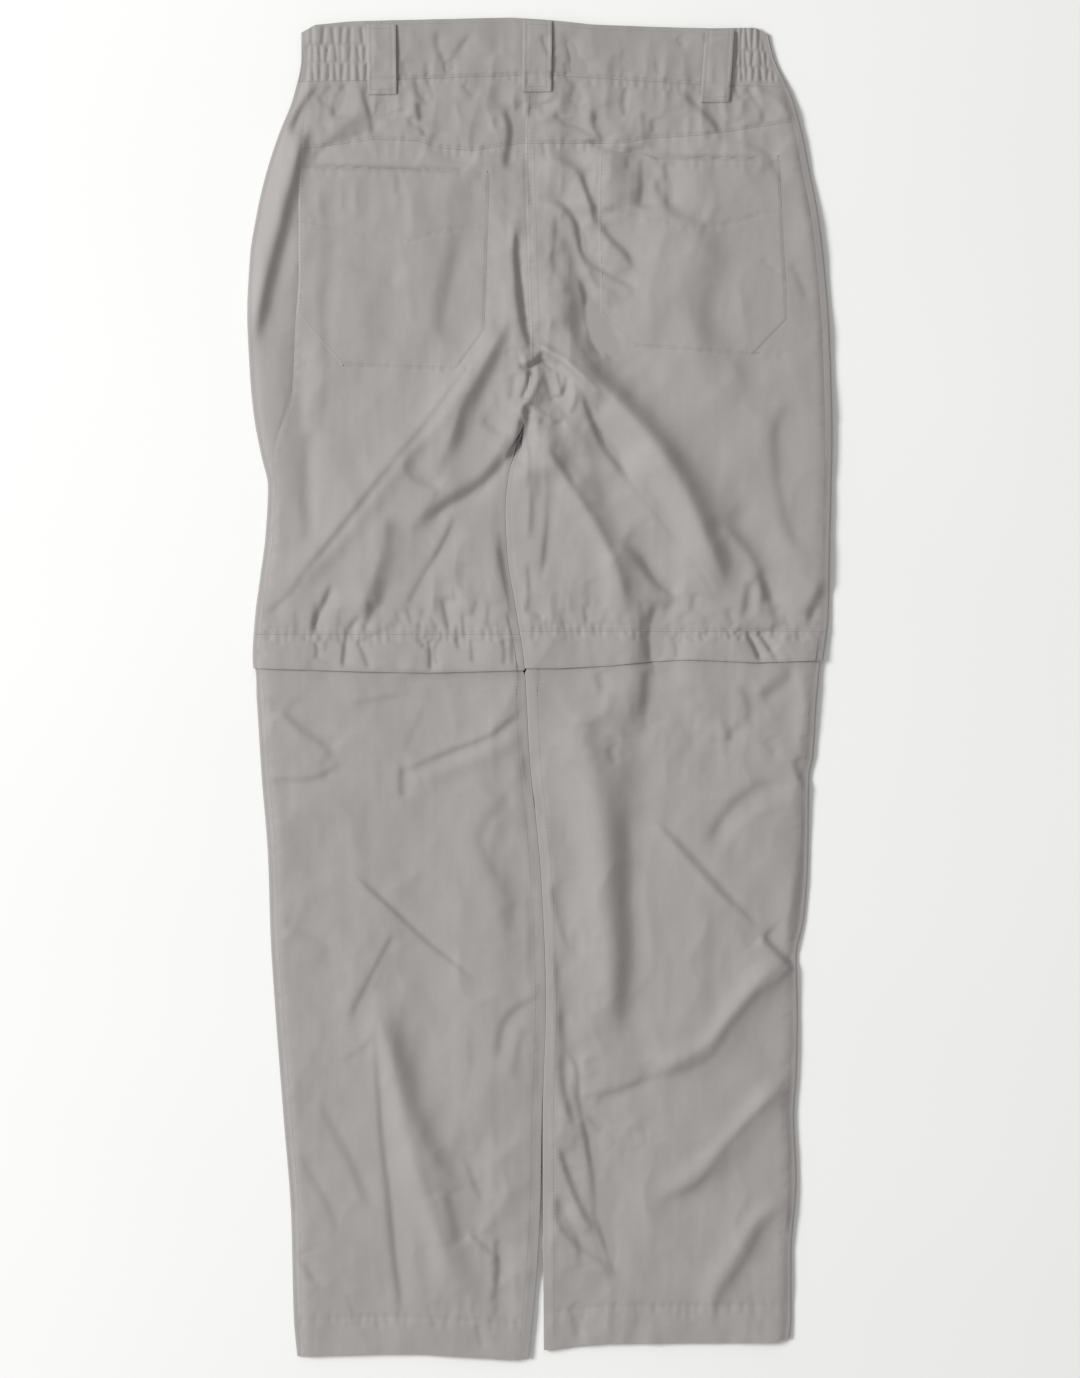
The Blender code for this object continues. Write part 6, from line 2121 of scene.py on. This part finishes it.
@dataclass
class Sewing(Assembly):
    """Rows of stitches, each a small bead of thread laid on the cloth."""

    pitch: float = 2.8
    size: tuple[float, float, float] = (2.05, 0.42, 0.36)
    sunk: float = 0.02

    def bead(self) -> bpy.types.Object:
        """Model one stitch: a rounded bead of thread, its length along X.

        Returns:
            The bead.
        """
        bpy.ops.object.select_all(action="DESELECT")
        bpy.ops.mesh.primitive_uv_sphere_add(
            segments=6, ring_count=4, radius=0.5, rotation=(0, math.pi / 2, 0)
        )
        bpy.ops.object.transform_apply(location=False, rotation=True, scale=False)
        bpy.ops.object.mode_set(mode="EDIT")
        bpy.ops.mesh.select_all(action="SELECT")
        bpy.ops.transform.resize(value=tuple(side * MM for side in self.size))
        bpy.ops.object.mode_set(mode="OBJECT")
        bpy.ops.object.shade_smooth()
        return bpy.context.active_object

    def row_of(self, line: np.ndarray, pitch: float) -> Places:
        """Places and directions of stitches along a line.

        Args:
            line: Points, mm.
            pitch: Distance between two stitches.

        Returns:
            A middle and a unit direction for each stitch.
        """
        at = lengths_along(line)
        count = max(1, int(at[-1] / pitch))
        middles = (np.arange(count) + 0.5) * at[-1] / count

        def spot(place: np.ndarray) -> np.ndarray:
            """Points of the line at given lengths along it."""
            return np.stack([np.interp(place, at, line[:, axis]) for axis in range(3)], axis=1)

        ends = spot(middles + pitch / 3) - spot(middles - pitch / 3)
        return list(zip(spot(middles), ends / np.linalg.norm(ends, axis=1)[:, None]))

    def copies(self, name: str, places: Places, turn: bool = False) -> bpy.types.Object:
        """Copy the bead to every place and join the copies.

        Args:
            name: The joined piece's name.
            places: A middle and a direction for each.
            turn: Whether a bead lies across its line.

        Returns:
            The joined piece.
        """
        master = self.bead()
        form = np.zeros(len(master.data.vertices) * 3)
        master.data.vertices.foreach_get("co", form)
        form = form.reshape(-1, 3)
        beads = []
        for middle, along in places:
            sideways = np.cross([0, 0, 1], along)
            sideways /= np.linalg.norm(sideways)
            axes = (sideways, -along) if turn else (along, sideways)
            frame_of = np.stack([*axes, np.cross(*axes)])
            bead = master.copy()
            bead.data = master.data.copy()
            bead.data.vertices.foreach_set("co", (form @ frame_of + middle * MM).ravel())
            bpy.context.collection.objects.link(bead)
            beads.append(bead)
        bpy.data.objects.remove(master)
        bpy.ops.object.select_all(action="DESELECT")
        for bead in beads:
            bead.select_set(True)
        bpy.context.view_layer.objects.active = beads[0]
        bpy.ops.object.join()
        piece = bpy.context.active_object
        piece.name = piece.data.name = name
        return piece

    def on_cloth(self, x: np.ndarray, y: np.ndarray, height: Height, above: float = 0.0) -> Places:
        """Stitches along a line on the cloth.

        Args:
            x: The line's x.
            y: Its y.
            height: Gives the cloth's height for x and y.
            above: How far above it the stitches lie.

        Returns:
            A middle and a unit direction for each stitch.
        """
        at = lengths_along(points(x, y, 0.0))
        place = np.arange(0, at[-1], 1.0)
        x, y = np.interp(place, at, x), np.interp(place, at, y)
        return self.row_of(points(x, y, height(x, y) + above + self.sunk), self.pitch)

    def sew(self, name: str, rows: Sequence[Places], slot: str = "cloth") -> None:
        """Join rows of stitches into one piece."""
        places = [place for row in rows for place in row]
        self.dress(self.copies(name, places), self.finishes.thread, slot)


@dataclass
class Seams(Sewing):
    """Every row of stitches that shows."""

    band_inset: float = 12.0
    # How far each row lies from its seam
    top_row: float = 3.2
    foot_row: float = 2.4
    middle_rows: Point = (2.2, 7.5)
    yoke_row: float = 2.2
    row: float = 2.0
    yoke_y: float = 425.0
    hem_y: float = -490.0
    facing_y: float = 360.0
    pocket_foot_y: float = 260.0
    elastic_spans: tuple[Point, Point] = ((-182.0, -136.0), (152.0, 178.0))
    middle_span: Point = (468.0, 216.0)
    inseam_span: Point = (-505.0, 20.0)

    def build(self) -> None:
        """Sew the waistband, the yokes and middle seam, the pockets, the knees and the hems."""
        body = self.cloth.body.at
        x = np.linspace(BAND_LEFT_X + self.band_inset, BAND_RIGHT_X - self.band_inset, 200)
        lines = (across(TOP_EDGE, -self.top_row), across(WAIST_SEAM, self.foot_row))
        rows = [self.on_cloth(x, line(x), body) for line in lines]
        for levels, span in zip((LEFT_ROWS, RIGHT_ROWS), self.elastic_spans):
            x = np.linspace(*span, 40)
            rows += [self.on_cloth(x, 0 * x + y, body) for y in levels]
        self.sew("stitches_waistband", rows)
        y = np.linspace(*self.middle_span, 200)
        rows = [self.on_cloth(down(CENTRE, shift)(y), y, body) for shift in self.middle_rows]
        self.sew("stitches_middle_seam", rows)
        for leg in LEGS:
            self.sew_leg(leg)

    def sew_leg(self, leg: Leg) -> None:
        """Sew one leg's own seams.

        Args:
            leg: The leg.
        """
        top = partial(self.top, leg)
        level_rows = (
            ("yoke", leg.spread(self.yoke_y, 1.5), across(leg.yoke, self.yoke_row)),
            ("knee", leg.spread(leg.knee, 1.5), level(leg.knee + self.row)),
            ("hem", leg.spread(self.hem_y, 0.5), across(leg.hem, HEM_DEPTH)),
        )
        for name, span, line in level_rows:
            x = np.linspace(*span, 200)
            self.sew(f"stitches_{name}_{leg.side.value}", [self.on_cloth(x, line(x), top)])
        y = np.linspace(*self.inseam_span, 260)
        inseam = leg.inseam_line(self.row)
        self.sew(f"stitches_inseam_{leg.side.value}", [self.on_cloth(inseam(y), y, top)])
        self.sew_pocket(leg, top)

    def sew_pocket(self, leg: Leg, top: Height) -> None:
        """Sew round the pocket and along the pointed edge of its lining.

        Args:
            leg: The leg.
            top: Gives the height of the leg's upper face for x and y.
        """
        panels = BackPanels(self.cloth, self.finishes, leg=leg)
        above = panels.pocket_gap + panels.pocket_wall
        ways = (leg.outward, -leg.outward)
        sides = [shifted(line, way * self.row) for line, way in zip(panels.pocket_sides(), ways)]
        foot = across(leg.pocket_foot, self.row)
        foot_y = float(foot(sides[0](np.array(self.pocket_foot_y))))
        y = np.linspace(leg.pocket_top[0].y - self.row, foot_y, 160)
        rows = [self.on_cloth(side(y), y, top, above) for side in sides]
        for place, line in ((foot_y, foot), (self.facing_y, across(leg.point_of_facing))):
            x = np.linspace(*sorted(float(side(np.array(place))) for side in sides), 120)
            rows.append(self.on_cloth(x, line(x), top, above))
        self.sew(f"stitches_pocket_{leg.side.value}", rows, "pocket_cloth")


class Loop(NamedTuple):
    """A belt loop: x and y of its two ends."""

    name: str
    x_top: float
    x_foot: float
    y_top: float
    y_foot: float

    def at(self, t: np.ndarray) -> Pair:
        """x and y of its middle line, from its top at 0 to its foot at 1."""
        return mix(self.x_top, self.x_foot, t), mix(self.y_top, self.y_foot, t)


@dataclass
class BeltLoops(Assembly):
    """Three loops over the back of the waistband and two under the front."""

    length: float = 54.0
    gap: float = 0.6
    crown: float = 1.1
    crown_power: float = 0.7
    wall: float = 1.2
    front_wall: float = 0.9
    # How deep each turned edge and the groove beside the stitches are, and how far they reach
    side_edge: Point = (0.45, 0.8)
    end_edge: Point = (0.5, 0.9)
    front_edge: Point = (0.3, 0.9)
    groove: Point = (0.28, 0.9)
    groove_inset: float = 3.2
    # Where the rows of stitches lie: their shares of the width and of the length
    side_rows: Point = (-0.36, 0.36)
    end_rows: Point = (0.06, 0.93)
    end_span: Point = (-0.4, 0.4)
    side_span: Point = (0.03, 0.97)
    end_pitch: float = 1.5
    # How far above the loop the stitches along its sides and across its ends lie
    thread_above: Point = (0.02, 0.04)
    back: tuple[Loop, ...] = (
        Loop("left", -123.5, -123.0, 517.5, 463), Loop("centre", -2.0, -2.5, 520.5, 465),
        Loop("right", 140.0, 136.0, 512.5, 457),
    )
    front: tuple[Loop, ...] = (Loop("left", -78, -78, 517, 463), Loop("right", 66, 66, 514, 461))

    def build(self) -> None:
        """Lay all five loops and sew the ones that show."""
        sewing = Sewing(self.cloth, self.finishes, pitch=2.6)
        rows = []
        for loop in self.back:
            self.strip(f"belt_loop_back_{loop.name}", loop, self.over, "waistband_back")
            t = np.linspace(*self.side_span, 60)
            for aside in self.side_rows:
                shares = (t, np.full(t.shape, aside))
                rows.append(self.stitched(sewing, loop, shares, self.thread_above[0], sewing.pitch))
            aside = np.linspace(*self.end_span, 30)
            for end in self.end_rows:
                shares = (np.full(aside.shape, end), aside)
                rows.append(self.stitched(sewing, loop, shares, self.thread_above[1], self.end_pitch))
        sewing.sew("stitches_belt_loops", rows)
        for loop in self.front:
            self.strip(f"belt_loop_front_{loop.name}", loop, self.beneath, "floor", faces_up=False)

    def stitched(self, sewing: Sewing, loop: Loop, shares: Pair, above: float, pitch: float) -> Places:
        """Stitches along a line on a back loop.

        Args:
            sewing: What sews them.
            loop: The loop.
            shares: The line's shares of the loop's length, from its top, and of its width, from its middle.
            above: How far above the loop the stitches lie.
            pitch: Distance between two stitches.

        Returns:
            A middle and a unit direction for each stitch.
        """
        t, aside = shares
        x, y = loop.at(t)
        x = x + aside * LOOP_WIDTH
        return sewing.row_of(points(x, y, self.over(t, aside, x, y) + above), pitch)

    def over(self, t: np.ndarray, aside: np.ndarray, x: np.ndarray, y: np.ndarray) -> np.ndarray:
        """Height of a back loop: pressed down at its ends, slightly crowned, its edges turned in.

        Args:
            t: Each point's share of the loop's length, from its top.
            aside: Its share of the loop's width, from its middle.
            x: Its x.
            y: Its y.

        Returns:
            The heights.
        """
        slack = self.crown * np.sin(math.pi * np.clip(t, 0, 1)) ** self.crown_power
        rim = (0.5 - np.abs(aside)) * LOOP_WIDTH
        ends = np.minimum(t, 1 - t) * self.length
        edge = self.side_edge[0] * hill(rim, self.side_edge[1])
        edge = edge + self.end_edge[0] * hill(ends, self.end_edge[1])
        groove = self.groove[0] * hill(rim - self.groove_inset, self.groove[1])
        return self.cloth.body.at(x, y) + self.gap + self.wall + slack - edge - groove

    def beneath(self, t: np.ndarray, aside: np.ndarray, x: np.ndarray, y: np.ndarray) -> np.ndarray:
        """Height of a front loop's lower face, on the table, for the same values."""
        rim = (0.5 - np.abs(aside)) * LOOP_WIDTH
        return self.front_edge[0] * hill(rim, self.front_edge[1]) + 0 * t

    def strip(
        self, node: str, loop: Loop, height: Callable[..., np.ndarray], rests_on: str, faces_up: bool = True
    ) -> None:
        """Lay one loop.

        Args:
            node: The CAD node that it stands for.
            loop: The loop.
            height: Gives its outer face's height.
            rests_on: What it lies on.
            faces_up: Whether its outer face looks up.
        """
        t, aside = np.meshgrid(np.linspace(0, 1, 46), np.linspace(-0.5, 0.5, 25), indexing="ij")
        x, y = loop.at(t)
        x = x + LOOP_WIDTH * aside
        outside = points(x, y, height(t, aside, x, y))
        wall = self.wall if faces_up else self.front_wall
        self.panel(node, outside, wall, [rests_on], self.finishes.band, faces_up=faces_up)


@dataclass
class FrontClosure(Assembly):
    """What closes the front, all on the hidden side: a waist button and the fly's zip."""

    radius: float = 8.5
    depth: float = 1.2
    aside: float = 14.0
    button_y: float = 497.0
    rim: float = 1.6
    dish: Point = (0.5, 0.35)
    hole: float = 0.9
    hole_ring: float = 2.1
    cutter_depth: float = 4.0
    rounding: float = 0.16
    fly_width: float = 24.0
    fly_top: float = 426.0
    fly_foot: float = 296.0
    fly_height: float = 2.0
    # How far the fly's tape waves, and the length of a wave
    fly_wave: Point = (0.12, 9.0)
    tape: float = 0.5
    teeth: tuple[float, float, float] = (3.0, 1.3, 0.8)
    teeth_height: float = 2.25
    tooth_pitch: float = 2.4

    def build(self) -> None:
        """Make the button and the fly."""
        self.button()
        middle, tape = down(CENTRE), self.finishes.tape
        y, aside = np.meshgrid(
            np.linspace(self.fly_top, self.fly_foot, 50), np.linspace(-0.5, 0.5, 9), indexing="ij"
        )
        z = self.fly_height + self.fly_wave[0] * np.sin(y / self.fly_wave[1])
        outside = points(middle(y) + aside * self.fly_width, y, z)
        self.panel("fly_zip", outside, self.tape, ["front_thigh_left"], tape, "zip_tape")
        sewing = Sewing(self.cloth, self.finishes, size=self.teeth)
        line = points(middle(y[:, 0]), y[:, 0], self.teeth_height)
        chain = sewing.copies("fly_zip_teeth", sewing.row_of(line, self.tooth_pitch), turn=True)
        self.dress(chain, self.finishes.teeth, "zip_tape")

    def disc(
        self, x: float, y: float, z: float, radius: float, depth: float, corners: int
    ) -> bpy.types.Object:
        """Add a plain disc.

        Args:
            x: Its middle's x, mm.
            y: Its middle's y, mm.
            z: Its middle's height, mm.
            radius: Its radius, mm.
            depth: Its thickness, mm.
            corners: How many sides it has.

        Returns:
            The disc.
        """
        bpy.ops.object.select_all(action="DESELECT")
        bpy.ops.mesh.primitive_cylinder_add(
            vertices=corners, radius=radius * MM, depth=depth * MM, location=(x * MM, y * MM, z * MM)
        )
        return bpy.context.active_object

    def button(self) -> None:
        """Turn a disc with a rim and a dished face, and pierce its four holes."""
        x, y = float(down(CENTRE)(np.array(self.button_y))) + self.aside, self.button_y
        piece = self.disc(x, y, self.depth / 2, self.radius, self.depth, 48)
        piece.name = piece.data.name = "button_waist"
        bpy.ops.object.transform_apply(location=True, rotation=False, scale=False)
        bpy.ops.object.mode_set(mode="EDIT")
        bpy.ops.mesh.select_mode(type="FACE")
        bpy.ops.mesh.select_all(action="DESELECT")
        bpy.ops.object.mode_set(mode="OBJECT")
        for face in piece.data.polygons:
            face.select = face.normal.z < -0.9
        bpy.ops.object.mode_set(mode="EDIT")
        bpy.ops.mesh.inset(thickness=self.rim * MM, depth=0)
        bpy.ops.mesh.inset(thickness=self.dish[0] * MM, depth=-self.dish[1] * MM)
        bpy.ops.object.mode_set(mode="OBJECT")
        cutters = []
        for turn in range(4):
            angle = math.pi * (0.25 + turn / 2)
            hole_x, hole_y = x + self.hole_ring * math.cos(angle), y + self.hole_ring * math.sin(angle)
            cutters.append(self.disc(hole_x, hole_y, 0.0, self.hole, self.cutter_depth, 16))
        for cutter in cutters:
            settle(piece, "BOOLEAN", operation="DIFFERENCE", object=cutter, solver="EXACT")
            bpy.data.objects.remove(cutter)
        settle(
            piece, "BEVEL", width=self.rounding * MM, segments=2, limit_method="ANGLE",
            angle_limit=math.radians(50),
        )
        bpy.ops.object.shade_smooth_by_angle(angle=math.radians(40))
        self.dress(piece, self.finishes.button, "button_plastic", "waist_button")


@dataclass
class Studio:
    """Pale floor, soft light from the left, and a camera straight above. Sizes here are in metres."""

    height: float = 3.0
    view_height: float = 1.0748
    floor_size: float = 24.0
    floor_drop: float = 0.0004
    key_watts: float = 264.0
    key_size: Point = (2.4, 1.9)
    key_at: tuple[float, float, float] = (-4.1, 1.0, 3.4)
    fill: float = 0.44

    def build(self) -> None:
        """Set the stage."""
        self.floor()
        self.lights()
        self.camera()

    def floor(self) -> None:
        """A plain matt floor."""
        bpy.ops.object.select_all(action="DESELECT")
        bpy.ops.mesh.primitive_plane_add(size=self.floor_size, location=(0, 0, 0))
        floor = bpy.context.active_object
        floor.name = "floor"
        bpy.ops.object.mode_set(mode="EDIT")
        bpy.ops.mesh.subdivide(number_cuts=4)
        bpy.ops.transform.translate(value=(0, 0, -self.floor_drop))
        bpy.ops.object.mode_set(mode="OBJECT")
        floor.data.materials.append(PaperFloor().make())

    def lights(self) -> None:
        """One large soft light from the upper left, and an even white surround."""
        key = bpy.data.lights.new("key", "AREA")
        key.shape, key.energy = "RECTANGLE", self.key_watts
        key.size, key.size_y = self.key_size
        lamp = bpy.data.objects.new("key", key)
        lamp.location = self.key_at
        lamp.rotation_euler = (-lamp.location).to_track_quat("-Z", "Y").to_euler()
        bpy.context.scene.collection.objects.link(lamp)
        world = bpy.data.worlds.new("studio")
        world.use_nodes = True
        backdrop = world.node_tree.nodes["Background"]
        backdrop.inputs["Color"].default_value = (1.0, 1.0, 1.0, 1.0)
        backdrop.inputs["Strength"].default_value = self.fill
        bpy.context.scene.world = world

    def camera(self) -> None:
        """Look straight down with the whole garment in view."""
        lens = bpy.data.cameras.new("camera")
        lens.sensor_fit = "VERTICAL"
        lens.angle = 2 * math.atan(self.view_height / 2 / self.height)
        camera = bpy.data.objects.new("camera", lens)
        camera.location = (0, 0, self.height)
        bpy.context.scene.collection.objects.link(camera)
        bpy.context.scene.camera = camera


def main() -> None:
    """Build the garment and its setting."""
    logging.basicConfig(level=logging.INFO, format="%(name)s: %(message)s")
    bpy.context.scene.view_settings.view_transform = "Standard"
    Studio().build()
    finishes = Finishes()
    cloth = LaidCloth()
    cloth.form()
    Waistband(cloth, finishes).build()
    for leg in LEGS:
        FrontPanels(cloth, finishes, leg=leg).build()
        BackPanels(cloth, finishes, leg=leg).build()
    BeltLoops(cloth, finishes).build()
    FrontClosure(cloth, finishes).build()
    Seams(cloth, finishes).build()


if __name__ == "__main__":
    main()
